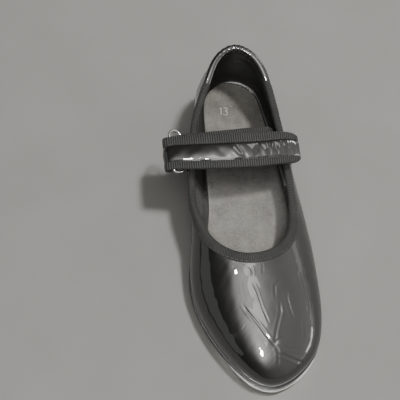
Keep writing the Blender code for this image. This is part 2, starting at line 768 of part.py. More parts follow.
def strap_layer(prefix, line, leather, grosgrain, middle, roll=0.0, rounded=False):
    core_edge = STRAP_WIDTH / 2 - STRAP_TAPE_THICKNESS - 0.4
    half = STRAP_CORE_THICKNESS / 2
    core = rectangle(-core_edge, core_edge, -half, half)
    ribbon(prefix, line, core, leather, middle, roll, rounded)
    ribbon(prefix + "_tape_front", line, tape(-1), grosgrain, middle, roll, rounded)
    ribbon(prefix + "_tape_rear", line, tape(1), grosgrain, middle, roll, rounded)


def flap_line():
    return open_spline((on_fold(FOLD_END),) + FLAP_LINE, 21, (1.6 * GAP, 0.0))


def base_line():
    return open_spline(BASE_LINE + (on_fold(FOLD_START),), 20, (0.0, 1.6 * GAP))


def pad(name, line, first, last, side, finish, middle, roll=0.0):
    """A hook or loop pad on one face of a strap layer, between two shares of its length."""
    spots = np.linspace(0, 1, len(line))
    wanted = np.linspace(first, last, 9)
    part = np.stack([np.interp(wanted, spots, line[:, k]) for k in (0, 1)], axis=-1)
    near = STRAP_CORE_THICKNESS / 2 + 0.2
    low, high = sorted((side * near, side * (near + PAD_THICKNESS)))
    section = rectangle(-PAD_WIDTH / 2, PAD_WIDTH / 2, low, high)
    ribbon(name, part, section, finish, middle, roll)


def make_strap(patent, backing, grosgrain, hook, loop):
    lower, upper = base_line(), flap_line()
    strap_layer("strap_base", lower, backing, grosgrain, base_y)
    strap_layer("strap_flap", upper, patent, grosgrain, flap_y, FLAP_ROLL, rounded=True)
    pad("loop_pad", lower, 0.3, 0.72, -1, loop, base_y)
    pad("hook_pad", upper, 0.5, 0.78, -1, hook, flap_y, FLAP_ROLL)
    arc = [on_fold(a) for a in np.linspace(FOLD_START, FOLD_END, 15)]
    half, edge = STRAP_THICKNESS / 2, STRAP_WIDTH / 2
    ribbon("strap_fold", arc, rectangle(-edge, edge, -half, half), patent, fold_y)


def make_ring(metal):
    """The wire ring, a rounded rectangle tilted up away from the shoe."""
    half_long = (RING_LENGTH - RING_WIRE) / 2 - RING_CORNER
    half_wide = RING_BAR_SPACING / 2 - RING_CORNER
    centre, path = [], []
    for quarter, (sx, sy) in enumerate(((1, 1), (-1, 1), (-1, -1), (1, -1))):
        for step in range(5):
            angle = math.radians(90 * quarter + 22.5 * step)
            path.append((
                sx * half_wide + RING_CORNER * math.cos(angle),
                sy * half_long + RING_CORNER * math.sin(angle),
            ))
    tilt = math.radians(RING_TILT)
    inner_x, inner_z = RING_INNER_BAR
    middle = RING_BAR_SPACING / 2
    for across, along in path:
        reach = middle - across
        centre.append((
            inner_x - reach * math.cos(tilt), RING_Y + along, inner_z + reach * math.sin(tilt)
        ))
    centre = np.array(centre)
    along = unit(np.roll(centre, -1, 0) - np.roll(centre, 1, 0))
    up = np.array([math.sin(tilt), 0.0, math.cos(tilt)])
    sections = []
    for spot, direction in zip(centre, along):
        side = unit(np.cross(direction, up))
        sections.append([
            spot + (side * math.cos(a) + up * math.sin(a)) * RING_WIRE / 2
            for a in np.arange(8) * math.pi / 4
        ])
    return add_object("ring", *tube(sections, closed=True), metal)


def make_tab(patent):
    """The loop that ties the ring to the medial quarter: up the wall, round the bar and back."""
    x, z = RING_INNER_BAR
    radius = RING_WIRE / 2 + GAP + TAB_THICKNESS / 2
    wrap = [
        (x + radius * math.cos(a), z + radius * math.sin(a))
        for a in np.radians(np.linspace(-15, 205, 10))
    ]
    stand = 2 * GAP + BINDING_THICKNESS + TAB_THICKNESS / 2
    stations = np.linspace(MEDIAL_SEAM - 1, MEDIAL_SEAM + 1, 41)
    along_wall = wall(stations, np.full(41, 0.8))[:, 1]
    front, back = [], []
    for y in np.linspace(RING_Y - TAB_WIDTH / 2, RING_Y + TAB_WIDTH / 2, 5):
        at = np.interp(-y, -along_wall, stations)
        inner = inside(np.full(3, at), np.array([0.5, 0.64, 0.78]), -stand)
        outer = inside(np.full(2, at), np.array([0.56, 0.7]), -(stand + TAB_THICKNESS + GAP))
        line = np.array([(p[0], p[2]) for p in inner] + wrap + [(p[0], p[2]) for p in outer[::-1]])
        along = unit(np.gradient(line, axis=0))
        up = np.stack([-along[:, 1], along[:, 0]], axis=-1) * TAB_THICKNESS / 2
        front.append([(q[0], y, q[1]) for q in line + up])
        back.append([(q[0], y, q[1]) for q in line - up])
    sections = [
        [column[i] for column in front] + [column[i] for column in back[::-1]]
        for i in range(len(front[0]))
    ]
    return add_object("ring_tab", *layer(sections), patent)


# ---- the whole shoe -------------------------------------------------------------------------
def main():
    clear_scene()
    frame = bpy.data.objects.new("shoe_frame", None)
    bpy.context.scene.collection.objects.link(frame)

    patent = material("patent", (0.012, 0.012, 0.013), 0.08)
    grosgrain = material("grosgrain", (0.045, 0.045, 0.048), 0.85)
    textile = material("vamp_textile", (0.05, 0.05, 0.048), 0.9)
    synthetic = material("quarter_lining", (0.03, 0.03, 0.032), 0.5)
    board = material("fibre_board", (0.35, 0.27, 0.18), 0.9)
    sock = material("sock", (0.16, 0.16, 0.155), 0.75)
    felt = material("felt", (0.2, 0.2, 0.19), 0.95)
    rubber = material("sole_rubber", (0.018, 0.018, 0.018), 0.45)
    aluminium = material("tap_aluminium", (0.78, 0.78, 0.76), 0.3, 1.0)
    steel = material("steel", (0.62, 0.62, 0.62), 0.3, 1.0)
    nickel = material("nickel", (0.83, 0.82, 0.79), 0.12, 1.0)
    stiff = material("stiffener", (0.5, 0.48, 0.42), 0.8)
    hook = material("hook", (0.02, 0.02, 0.02), 0.8)
    loop = material("loop", (0.03, 0.03, 0.03), 0.95)

    outsole = make_outsole(rubber)
    heel_block = make_heel_block(rubber)
    toe_tap = make_toe_tap(aluminium)
    heel_tap = make_heel_tap(aluminium)
    make_screws((toe_tap, heel_tap), (outsole, heel_block), steel)
    make_bottoming(board, sock, felt, steel)
    make_upper(patent)
    make_linings(textile, synthetic)
    make_stiffeners(stiff)
    make_bindings(grosgrain, patent)
    make_strap(patent, synthetic, grosgrain, hook, loop)
    make_ring(nickel)
    make_tab(patent)

    centre_on_origin(frame)
    hang_on("ring_axis", (RING_INNER_BAR[0], RING_Y, RING_INNER_BAR[1]), ["ring"])
    flap = ["strap_flap", "strap_flap_tape_front", "strap_flap_tape_rear", "hook_pad"]
    hang_on("flap_axis", (FLAP_AXIS[0], STRAP_Y, FLAP_AXIS[1]), flap)


main()
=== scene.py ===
"""Looks for a child's patent tap shoe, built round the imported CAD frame.

Shapes are worked out in millimetres in the shoe's own frame (toe -Y, medial side -X, floor Z = 0)
with the same curves as the CAD. in_frame() moves them into the shared frame, in metres.
"""

import math

import bmesh
import bpy
import numpy as np
from mathutils import Matrix, Vector


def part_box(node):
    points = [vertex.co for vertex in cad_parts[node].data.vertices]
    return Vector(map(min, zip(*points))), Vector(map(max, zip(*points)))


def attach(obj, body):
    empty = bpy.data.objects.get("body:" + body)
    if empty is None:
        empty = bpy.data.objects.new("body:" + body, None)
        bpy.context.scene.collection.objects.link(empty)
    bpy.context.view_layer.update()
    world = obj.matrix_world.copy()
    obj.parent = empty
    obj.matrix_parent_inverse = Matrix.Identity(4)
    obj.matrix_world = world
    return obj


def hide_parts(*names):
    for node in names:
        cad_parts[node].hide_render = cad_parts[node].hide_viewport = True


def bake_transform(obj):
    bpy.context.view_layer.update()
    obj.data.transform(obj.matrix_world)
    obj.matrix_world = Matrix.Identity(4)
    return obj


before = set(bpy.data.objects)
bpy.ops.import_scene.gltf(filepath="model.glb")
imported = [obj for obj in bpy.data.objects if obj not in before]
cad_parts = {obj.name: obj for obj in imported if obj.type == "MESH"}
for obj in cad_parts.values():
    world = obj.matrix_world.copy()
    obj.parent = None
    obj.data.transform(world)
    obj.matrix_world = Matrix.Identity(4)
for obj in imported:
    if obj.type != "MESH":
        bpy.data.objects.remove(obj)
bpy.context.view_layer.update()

MM = 0.001

# ---- dimensions of the CAD model ------------------------------------------------------------
GAP = 0.3
RIB_PITCH = 1.35
RIBBON_PITCH = 0.95
RIB_RISE = 0.07
TAP_THICKNESS = 2.0
OUTSOLE_THICKNESS = 3.0
OUTSOLE_OVERHANG = 1.0
HEEL_BLOCK_HEIGHT = 9.2
HEEL_BREAST_Y = 54.0
HEEL_BREAST_HOLLOW = 5.0
HEEL_CENTRE_Y = 77.0
HEEL_TAPER = 0.97
HEEL_OVERHANG = 0.6
TOE_SPRING = 3.4
SPRING_START_Y = -64.0
TOE_TIP_Y = -102.5
ARCH_START_Y = -24.0
ARCH_END_Y = 46.0
UPPER_THICKNESS = 1.2
FOOT_FLOOR = GAP + UPPER_THICKNESS + GAP + 1.5
SOCK_THICKNESS = 1.0
LINING_DEPTH = 2.6
LINING_THICKNESS = 0.8
BINDING_THICKNESS = 0.6
BINDING_WIDTH = 5.2
STRAP_WIDTH = 21.6
STRAP_TAPE_WIDTH = 5.0
STRAP_Y = 34.0
BASE_Y = 39.4
BASE_SLANT = 0.07
BASE_BOW = 3.3
FLAP_BOW = 3.2
FLAP_ROLL = 0.1
TIP_LENGTH, TIP_DEPTH = 8.0, 4.4
TAPER_LENGTH, REAR_TAPER = 28.0, 1.6
RING_WIRE = 1.8
RING_LENGTH = 29.0
RING_Y = 37.7
RING_BAR_SPACING = 7.6
RING_CORNER = 3.6
RING_INNER_BAR = (-36.0, 38.4)
RING_TILT = 22.0
TAB_WIDTH = 17.0
TAB_THICKNESS = 1.0
FOLD_RADIUS = 3.4
FOLD_START, FOLD_END = -48.0, -252.0
TOE_SCREWS = ((-20.0, -62.0), (19.0, -62.0), (-1.0, -86.0))
HEEL_SCREWS = ((-13.5, 68.0), (13.5, 68.0), (0.0, 90.0))
# Mm from the shoe's own frame to the shared one, from where the pack has the third heel screw.
screw_low, screw_high = (np.array(corner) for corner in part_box("heel_tap_screw_3"))
SHIFT = np.append(((screw_low + screw_high) / 2 / MM)[:2] - HEEL_SCREWS[2], 0.0)

# Stations round the upper: feather x, y; topline x, y, z; rise, swell, reach, top swell, drop.
UPPER_STATIONS = (
    (0.0, 100.0, 0.0, 96.5, 59.0, 15.0, 4.0, 0.0, 4.5, 13.0),
    (-17.0, 92.5, -11.8, 90.0, 57.5, 15.0, 3.6, 0.0, 3.8, 13.0),
    (-23.2, 77.0, -19.0, 76.0, 53.0, 14.0, 3.6, 0.0, 3.4, 12.0),
    (-24.0, 56.0, -27.5, 56.0, 44.5, 12.0, 3.6, 0.0, 2.4, 9.0),
    (-25.8, 33.0, -30.8, 36.0, 40.5, 10.0, 1.4, 0.0, 1.6, 8.0),
    (-27.5, 8.0, -33.2, 13.0, 33.5, 9.0, 2.2, 0.0, 1.6, 7.0),
    (-33.5, -17.0, -30.8, -1.5, 31.5, 9.0, 2.8, 0.1, 2.0, 7.0),
    (-35.5, -43.0, -25.2, -14.2, 32.5, 12.0, 3.0, 0.35, 0.0, 6.0),
    (-27.0, -68.0, -16.6, -23.3, 34.5, 16.0, 3.0, 0.5, 0.0, 6.5),
    (-13.0, -88.6, -8.7, -27.6, 36.0, 18.5, 3.0, 0.6, 0.0, 8.0),
    (5.6, -99.6, -0.9, -28.8, 36.5, 19.0, 2.5, 0.64, 0.0, 9.0),
    (26.8, -88.6, 6.7, -27.8, 36.0, 18.5, 3.4, 0.6, 0.0, 8.0),
    (36.6, -70.0, 14.4, -24.4, 34.5, 16.0, 3.8, 0.5, 0.0, 6.5),
    (39.0, -43.0, 21.8, -16.8, 32.5, 12.0, 4.0, 0.35, 0.0, 6.0),
    (37.8, -15.0, 26.3, -4.0, 31.5, 9.0, 3.5, 0.1, 3.5, 7.0),
    (34.2, 10.0, 27.0, 13.0, 34.0, 9.0, 3.0, 0.0, 3.5, 8.0),
    (30.2, 33.0, 25.4, 36.0, 41.0, 10.0, 2.2, 0.0, 2.2, 9.0),
    (26.8, 56.0, 23.0, 56.0, 45.0, 12.0, 2.8, 0.0, 2.4, 10.0),
    (23.6, 77.0, 18.6, 76.0, 53.0, 14.0, 3.2, 0.0, 3.2, 12.0),
    (17.0, 92.5, 11.8, 90.0, 57.5, 15.0, 3.6, 0.0, 3.8, 13.0),
)
STATIONS = len(UPPER_STATIONS)
TOE_STATION = 10
MEDIAL_SEAM, LATERAL_SEAM = 4.0, 16.0
MEDIAL_COLLAR, LATERAL_COLLAR = 2.0, 18.0
FLAP_LINE = ((-33.0, 47.4), (-19.0, 49.4), (-4.0, 49.8), (11.0, 48.5), (23.5, 46.6), (33.8, 41.0))
BASE_LINE = (
    (19.8, 33.2), (19.3, 37.6), (16.4, 41.8), (8.5, 44.8), (-4.0, 46.1), (-18.0, 46.0),
    (-29.0, 44.9), (-38.0, 42.0),
)


# ---- the CAD model's curves -----------------------------------------------------------------
def periodic_spline(values, at):
    """A closed cubic spline through values at 0, 1, 2 ..., read at the places in at."""
    values = np.asarray(values, float)
    count = len(values)
    system = 4 * np.eye(count) + np.roll(np.eye(count), 1, 0) + np.roll(np.eye(count), -1, 0)
    bend = 6 * (np.roll(values, 1, 0) - 2 * values + np.roll(values, -1, 0))
    second = np.linalg.solve(system, bend)
    at = np.asarray(at, float) % count
    low = np.floor(at).astype(int) % count
    high = (low + 1) % count
    t = (at - np.floor(at))[..., None]
    s = 1 - t
    return (
        s * values[low] + t * values[high]
        + ((s**3 - s) * second[low] + (t**3 - t) * second[high]) / 6
    )


def unit(vectors):
    """The vectors, each made one long."""
    vectors = np.asarray(vectors, float)
    return vectors / np.linalg.norm(vectors, axis=-1, keepdims=True)


def smoothstep(x):
    """0 below 0, 1 above 1, and a smooth climb between."""
    x = np.clip(x, 0.0, 1.0)
    return x * x * (3 - 2 * x)


def outsole_bottom(y):
    """Height of the outsole's underside: flat at the ball, up to the heel seat and the toe."""
    arch = smoothstep((np.asarray(y) - ARCH_START_Y) / (ARCH_END_Y - ARCH_START_Y))
    spring = np.clip((SPRING_START_Y - y) / (SPRING_START_Y - TOE_TIP_Y), 0, 1.2) ** 2
    at_ball = TAP_THICKNESS + GAP
    return at_ball + (HEEL_BLOCK_HEIGHT + GAP) * arch + TOE_SPRING * spring


def outsole_top(y):
    return outsole_bottom(y) + OUTSOLE_THICKNESS


def feather_normal(at):
    """The outward direction of the feather line, in plan."""
    step = 0.02
    outline = [station[:2] for station in UPPER_STATIONS]
    ahead, behind = (periodic_spline(outline, np.asarray(at) + way) for way in (step, -step))
    along = unit(ahead - behind)
    return np.stack([along[..., 1], -along[..., 0]], axis=-1)


def feather(at, outward=0.0):
    """Plan points of the feather line at those stations, moved outward by a distance."""
    spots = periodic_spline([station[:2] for station in UPPER_STATIONS], at)
    return spots + outward * feather_normal(at)


def wall(at, v):
    """The outer surface of the upper: stations at, height shares v (0 feather line, 1 topline)."""
    at, v = np.asarray(at, float), np.asarray(v, float)[..., None]
    row = periodic_spline(UPPER_STATIONS, at)
    normal = feather_normal(at)
    foot, top = row[..., 0:2], row[..., 2:5]
    rise, swell, reach, top_swell, drop = (row[..., i : i + 1] for i in range(5, 10))
    start = np.concatenate([foot, (outsole_top(foot[..., 1]) + GAP)[..., None]], -1)
    first = start + np.concatenate([normal * swell, rise], -1)
    flat = (foot - top[..., :2]) * reach + normal * top_swell
    second = top + np.concatenate([flat, -drop], -1)
    s = 1 - v
    return s**3 * start + 3 * s**2 * v * first + 3 * s * v**2 * second + v**3 * top


def wall_normal(at, v):
    """The outward direction of the upper's outer surface."""
    step = 0.01
    v = np.asarray(v, float)
    across = wall(np.asarray(at) + step, v) - wall(np.asarray(at) - step, v)
    up = wall(at, np.minimum(v + step, 1.0)) - wall(at, np.maximum(v - step, 0.0))
    return unit(np.cross(across, up))


def inside(at, v, depth):
    """A point of the wall, a depth below its outer surface (negative is outside it)."""
    depth = np.asarray(depth, float)[..., None]
    return wall(at, v) - wall_normal(at, v) * depth


def share_below_topline(at, distance):
    """The height share that lies a distance below the topline."""
    step = 0.02
    speed = np.linalg.norm(wall(at, np.ones_like(at)) - wall(at, np.ones_like(at) - step), axis=-1)
    return 1 - distance * step / speed


def sock_inset(spots):
    """How far inside the feather line the sock stops: further in at the ball, where the wall
    stands further in too, and on the lateral side."""
    at_ball = 1 - smoothstep((spots[..., 1] + 20.0) / 60.0)
    return 4.5 + 2.0 * at_ball + 1.5 * smoothstep((spots[..., 0] + 8.0) / 16.0)


def outer_bar():
    """x, z of the ring's free bar, round which the strap folds."""
    tilt = math.radians(RING_TILT)
    return (
        RING_INNER_BAR[0] - RING_BAR_SPACING * math.cos(tilt),
        RING_INNER_BAR[1] + RING_BAR_SPACING * math.sin(tilt),
    )


def on_fold(degrees):
    """x, z of the strap's middle line where it bends round the ring."""
    x, z = outer_bar()
    angle = math.radians(degrees)
    return (x + FOLD_RADIUS * math.cos(angle), z + FOLD_RADIUS * math.sin(angle))


def open_spline(points, count):
    """Even points of a natural cubic spline through points in x-z."""
    points = np.asarray(points, float)
    knots = lengths(points)
    n = len(points)
    gaps = np.diff(knots)
    system, bend = np.eye(n), np.zeros_like(points)
    for i in range(1, n - 1):
        system[i, i - 1 : i + 2] = gaps[i - 1], 2 * (gaps[i - 1] + gaps[i]), gaps[i]
        slopes = np.diff(points[i - 1 : i + 2], axis=0) / gaps[i - 1 : i + 1, None]
        bend[i] = 6 * (slopes[1] - slopes[0])
    second = np.linalg.solve(system, bend)
    at = np.linspace(0.0, knots[-1], count)
    i = np.clip(np.searchsorted(knots, at) - 1, 0, n - 2)
    h = gaps[i][:, None]
    t = ((at - knots[i]) / gaps[i])[:, None]
    s = 1 - t
    cubic = ((s**3 - s) * second[i] + (t**3 - t) * second[i + 1]) * h**2 / 6
    return s * points[i] + t * points[i + 1] + cubic


def over_instep(x):
    """1 over the middle of the instep and 0 at the ring and beyond the lateral topline."""
    return 1 - min(1.0, abs(x + 5.0) / 36.0) ** 2


def base_y(x):
    """Where the middle of the strap's lower run lies along y."""
    return BASE_Y + BASE_SLANT * x - BASE_BOW * over_instep(x)


def flap_y(x):
    """Where the middle of the flap lies along y."""
    return STRAP_Y - FLAP_BOW * over_instep(x)


def fold_y(share):
    """Where the strap's middle line lies along y, a share of the way round the bend."""
    start, end = on_fold(FOLD_START), on_fold(FOLD_END)
    return base_y(start[0]) * (1 - share) + flap_y(end[0]) * share


def narrowed(across, left):
    """A place across the strap, drawn in where the free end's corners are rounded and where the
    flap's rear edge tapers towards them."""
    keep, edge = STRAP_WIDTH / 2 - STRAP_TAPE_WIDTH, STRAP_WIDTH / 2
    round_off = max(0.0, 1 - left / TIP_LENGTH)
    depth = 1 - math.sqrt(1 - round_off**2)
    if across < 0:
        depth *= TIP_DEPTH
    else:
        depth = depth * (TIP_DEPTH - REAR_TAPER) + REAR_TAPER * max(0.0, 1 - left / TAPER_LENGTH)
    beyond = max(0.0, abs(across) - keep)
    return math.copysign(abs(across) - beyond * depth / (edge - keep), across)


# ---- tools ----------------------------------------------------------------------------------
SMOOTH_BELOW = 35.0  # faces that meet at a smaller angle than this are shaded smooth
SMOOTH_BELOW_BORED = 30.0
ROUND_SIDES = 40
RIPPLE_WAVES = 7


def vectors(values):
    return np.asarray(values, float)


def in_frame(points):
    """Points in mm of the shoe's own frame, as metres in the shared one."""
    return (vectors(points).reshape(-1, 3) + SHIFT) * MM


def ripple(points, wavelength, seed):
    """Smooth noise of about unit size that depends only on position, in mm."""
    rng = np.random.default_rng(seed)
    total = np.zeros(points.shape[:-1])
    for _ in range(RIPPLE_WAVES):
        way = unit(rng.normal(size=3)) * math.tau / (wavelength * rng.uniform(0.7, 1.5))
        total += np.sin(points @ way + rng.uniform(0, math.tau))
    return total / math.sqrt(RIPPLE_WAVES / 2)


def piece(name, points, faces, look, body="shoe", nodes=(), weave=None):
    """A closed body from points in mm. look is (material, slot name); the slot name is not used."""
    mesh = closed_mesh(name, points, faces)
    if weave is not None:
        threads = mesh.attributes.new("weave", "FLOAT_VECTOR", "POINT")
        threads.data.foreach_set("vector", vectors(weave).astype(np.float32).ravel())
    mesh.materials.append(look[0])
    mesh.shade_smooth()
    mesh.set_sharp_from_angle(angle=math.radians(SMOOTH_BELOW))
    obj = placed(name, mesh)
    if body:
        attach(obj, body)
    if nodes:
        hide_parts(*nodes)
    return obj


def closed_mesh(name, points, faces):
    """A mesh from points in mm, with its faces turned outward."""
    mesh = bpy.data.meshes.new(name)
    mesh.from_pydata(in_frame(points).tolist(), [], faces)
    shape = bmesh.new()
    shape.from_mesh(mesh)
    bmesh.ops.recalc_face_normals(shape, faces=shape.faces)
    shape.to_mesh(mesh)
    shape.free()
    return mesh


def placed(name, data):
    """A new object in the scene that shows the data."""
    obj = bpy.data.objects.new(name, data)
    bpy.context.scene.collection.objects.link(obj)
    return obj


def grid_faces(rows, columns, start=0, closed=False):
    """Quads over a grid numbered row by row. closed joins each row's end to its start."""
    number = start + np.arange(rows * columns).reshape(rows, columns)
    if closed:
        number = np.concatenate([number, number[:, :1]], axis=1)
    quads = [number[:-1, :-1], number[:-1, 1:], number[1:, 1:], number[1:, :-1]]
    return np.stack(quads, axis=-1).reshape(-1, 4).tolist()


def rim_of(rows, columns):
    """The numbers round the edge of a grid, in order."""
    number = np.arange(rows * columns).reshape(rows, columns)
    return np.concatenate([number[0], number[1:, -1], number[-1, -2::-1], number[-2:0:-1, 0]])


def shell(outer, inner):
    """Points and faces of a closed body between two grids of the same shape."""
    rows, columns = outer.shape[:2]
    size = rows * columns
    points = np.concatenate([outer.reshape(-1, 3), inner.reshape(-1, 3)])
    faces = grid_faces(rows, columns) + grid_faces(rows, columns, size)
    rim = rim_of(rows, columns)
    after = np.roll(rim, -1)
    faces += np.stack([rim, after, after + size, rim + size], axis=-1).tolist()
    return points, faces


def sweep(sections, closed=False):
    """Points and faces of a skin through closed sections, with its ends filled unless closed."""
    sections = vectors(sections)
    count, size = sections.shape[:2]
    points = sections.reshape(-1, 3)
    if closed:
        faces = grid_faces(count + 1, size, closed=True)
        faces = (np.array(faces) % (count * size)).tolist()
    else:
        faces = grid_faces(count, size, closed=True)
        faces += [list(range(size)), list(range((count - 1) * size, count * size))]
    return points, faces


def join(parts):
    """Several (points, faces) as one."""
    points, faces, start = [], [], 0
    for some, quads in parts:
        points.append(vectors(some).reshape(-1, 3))
        faces += [[i + start for i in f] for f in quads]
        start += len(points[-1])
    return np.concatenate(points), faces


def lengths(path):
    """The length along a polyline at each of its points."""
    steps = np.linalg.norm(np.diff(path, axis=0), axis=1)
    return np.concatenate([[0.0], np.cumsum(steps)])


def along_path(path, spots):
    """Points of a polyline at those lengths along it."""
    at = lengths(path)
    return np.stack([np.interp(spots, at, path[:, k]) for k in range(path.shape[1])], axis=-1)


# Share of a stitch's length, then its thickness and its lift as shares of the thread's radius.
STITCH_PROFILE = (
    (0, 0.35, -0.25), (0.15, 0.85, 0.0), (0.5, 1.0, 0.1), (0.85, 0.85, 0.0), (1, 0.35, -0.25),
)
THREAD_RADIUS = 0.24
THREAD_SIDES = 6


def stitch_row(path, normal, pitch=2.9, long=2.1):
    """A row of thread stitches lying on a surface, as (points, faces)."""
    at = lengths(path)
    both = np.concatenate([path, normal], axis=1)
    parts = []
    for spot in np.arange(pitch / 2, at[-1] - pitch / 2, pitch):
        start, middle, end = (
            np.array([np.interp(s, at, both[:, k]) for k in range(6)])
            for s in (spot - long / 2, spot, spot + long / 2)
        )
        up, way = unit(middle[3:]), end[:3] - start[:3]
        side = np.cross(up, unit(way))
        rings = []
        for share, thick, lift in STITCH_PROFILE:
            centre = start[:3] + way * share + up * lift * THREAD_RADIUS
            rings.append([
                centre + THREAD_RADIUS * thick * (side * math.cos(a) + up * math.sin(a))
                for a in np.arange(THREAD_SIDES) * math.tau / THREAD_SIDES
            ])
        parts.append(sweep(rings))
    return join(parts)


# The ridges beside a furrow: how far off and how wide, as shares of its width, and how high.
RIDGE_AWAY, RIDGE_WIDTH, RIDGE_HEIGHT = 2.2, 1.3, 0.5
# How fast a crease grows from either end of its path, and what there is of it at the very end.
FADE_RATE, FADE_LEAST = 4.5, 0.25


def groove(spots, path, width, depth):
    """How a crease along a path in plan lifts a surface: a furrow with a low ridge each side, both
    fading out towards the ends of the path."""
    path = vectors(path)
    along = lengths(np.column_stack([path, np.zeros(len(path))]))
    nearest = np.full(spots.shape[:-1], 1e9)
    where = np.zeros_like(nearest)
    for i in range(len(path) - 1):
        step = path[i + 1] - path[i]
        share = np.clip((spots[..., :2] - path[i]) @ step / (step @ step), 0, 1)
        away = np.linalg.norm(spots[..., :2] - path[i] - share[..., None] * step, axis=-1)
        closer = away < nearest
        nearest = np.where(closer, away, nearest)
        where = np.where(closer, (along[i] + share * (along[i + 1] - along[i])) / along[-1], where)
    fade = np.clip(FADE_RATE * np.minimum(where, 1 - where) + FADE_LEAST, 0, 1)
    furrow = np.exp(-((nearest / width) ** 2))
    ridge = np.exp(-(((nearest - RIDGE_AWAY * width) / (RIDGE_WIDTH * width)) ** 2))
    return depth * fade * (RIDGE_HEIGHT * ridge - furrow)


def rungs(left_at, right_at, outward_left, outward_right, columns, bow=None):
    """A grid of plan points between two runs of the sole's outline."""
    left = feather(left_at) + feather_normal(left_at) * vectors(outward_left)[..., None]
    right = feather(right_at) + feather_normal(right_at) * vectors(outward_right)[..., None]
    share = np.linspace(0, 1, columns)[None, :, None]
    grid = left[:, None] * (1 - share) + right[:, None] * share
    if bow is not None:
        grid[..., 1] += np.sin(math.pi * share[..., 0]) * vectors(bow)[:, None]
    return grid


def slab(low_grid, high_grid, low, high, levels):
    """A plate between two grids of plan points, with its rim shaped by levels of (share of the
    height, mm outward, mm up). low and high give the heights at y."""
    rows, columns = low_grid.shape[:2]
    size = rows * columns
    bottom = np.dstack([low_grid, low(low_grid[..., 1])]).reshape(-1, 3)
    top = np.dstack([high_grid, high(high_grid[..., 1])]).reshape(-1, 3)
    rim = rim_of(rows, columns)
    loops, points = [rim], [bottom, top]
    start = 2 * size
    for share, outward, up in levels:
        loop = (1 - share) * bottom[rim] + share * top[rim]
        way = unit(np.roll(loop[:, :2], -1, 0) - np.roll(loop[:, :2], 1, 0))
        turn = np.stack([way[:, 1], -way[:, 0]], axis=-1)
        middle = loop[:, :2].mean(axis=0)
        if ((loop[:, :2] - middle) * turn).sum() < 0:
            turn = -turn
        loop[:, :2] += turn * outward
        loop[:, 2] += up
        loops.append(start + np.arange(len(rim)))
        points.append(loop)
        start += len(rim)
    loops.append(rim + size)
    faces = grid_faces(rows, columns) + grid_faces(rows, columns, size)
    for below, above in zip(loops[:-1], loops[1:]):
        quads = [below, np.roll(below, -1), np.roll(above, -1), above]
        faces += np.stack(quads, axis=-1).tolist()
    return np.concatenate(points), faces


def toward(start, end, count):
    """Values from start to end, close together at both ends."""
    return start + (end - start) * (1 - np.cos(np.linspace(0, math.pi, count))) / 2


def station_at(y, low_at, high_at):
    """The station between two others at which the feather line passes y."""
    at = np.linspace(low_at, high_at, 400)
    ys = feather(at)[:, 1]
    order = np.argsort(ys)
    return float(np.interp(y, ys[order], at[order]))


def bore(obj, cutters):
    """Takes cutters, each (points, faces), out of an object and applies the result."""
    made = []
    for points, faces in cutters:
        cutter = placed("cutter", closed_mesh("cutter", points, faces))
        hole = obj.modifiers.new("hole", "BOOLEAN")
        hole.operation = "DIFFERENCE"
        hole.solver = "EXACT"
        hole.object = cutter
        made.append(cutter)
    evaluated = obj.evaluated_get(bpy.context.evaluated_depsgraph_get())
    mesh = bpy.data.meshes.new_from_object(evaluated)
    obj.modifiers.clear()
    obj.data = mesh
    mesh.set_sharp_from_angle(angle=math.radians(SMOOTH_BELOW_BORED))
    for cutter in made:
        bpy.data.objects.remove(cutter, do_unlink=True)


def turned(profile, x, y):
    """A round body about an upright axis, from (radius, height) pairs."""
    angles = np.arange(ROUND_SIDES) * math.tau / ROUND_SIDES
    rings = [[(x + r * math.cos(a), y + r * math.sin(a), z) for a in angles] for r, z in profile]
    return sweep(rings)


# ---- finishes -------------------------------------------------------------------------------
def node_adder(tree):
    """A function that adds a node to the tree, with its inputs linked or set."""

    def add(kind, inputs=None, **settings):
        node = tree.nodes.new("ShaderNode" + kind)
        for key, value in settings.items():
            setattr(node, key, value)
        for key, value in (inputs or {}).items():
            if isinstance(value, bpy.types.NodeSocket):
                tree.links.new(value, node.inputs[key])
            else:
                node.inputs[key].default_value = value
        return node.outputs[0]

    return add


def finish(name, **values):
    """A new material with those shader values, its node adder, and a function that links a node
    to one of its shader's inputs."""
    made = bpy.data.materials.new(name)
    made.use_nodes = True
    tree = made.node_tree
    shader = tree.nodes["Principled BSDF"]
    for key, value in values.items():
        shader.inputs[key.replace("_", " ")].default_value = value

    def drive(key, value):
        tree.links.new(value, shader.inputs[key])

    return made, node_adder(tree), drive


def grey(value, warmth=1.0):
    """A grey whose blue is lowered to a share, which warms it."""
    return (value, value, value * warmth)


def tone(add, factor, *stops):
    """A colour ramp over a factor. Each stop is (place, colour)."""
    output = add("ValToRGB", {"Fac": factor})
    ramp = output.node.color_ramp
    while len(ramp.elements) < len(stops):
        ramp.elements.new(0.5)
    for element, (place, colour) in zip(ramp.elements, stops):
        element.position = place
        element.color = (*colour, 1.0)
    return output


def level(add, value, low, high):
    """A value from 0 to 1 stretched to low to high."""
    return add("MapRange", {"Value": value, "To Min": low, "To Max": high})


def math_node(add, operation, a, b=0.0):
    return add("Math", {0: a, 1: b}, operation=operation)


def place_of(add, scale=1.0, rotation=(0, 0, 0), stretch=(1, 1, 1)):
    """Object position in mm, turned and scaled."""
    spot = add("TexCoord").node.outputs["Object"]
    factor = tuple(scale * s / MM for s in stretch)
    return add("Mapping", {"Vector": spot, "Rotation": rotation, "Scale": factor})


def noise(add, vector, scale=1.0, detail=3.0, rough=0.5):
    return add("TexNoise", {"Vector": vector, "Scale": scale, "Detail": detail, "Roughness": rough})


def weave_axes(add):
    """The parts of the weave attribute: mm along a strip, and mm across it."""
    spot = add("Attribute", attribute_name="weave").node.outputs["Vector"]
    return add("SeparateXYZ", {"Vector": spot}).node.outputs


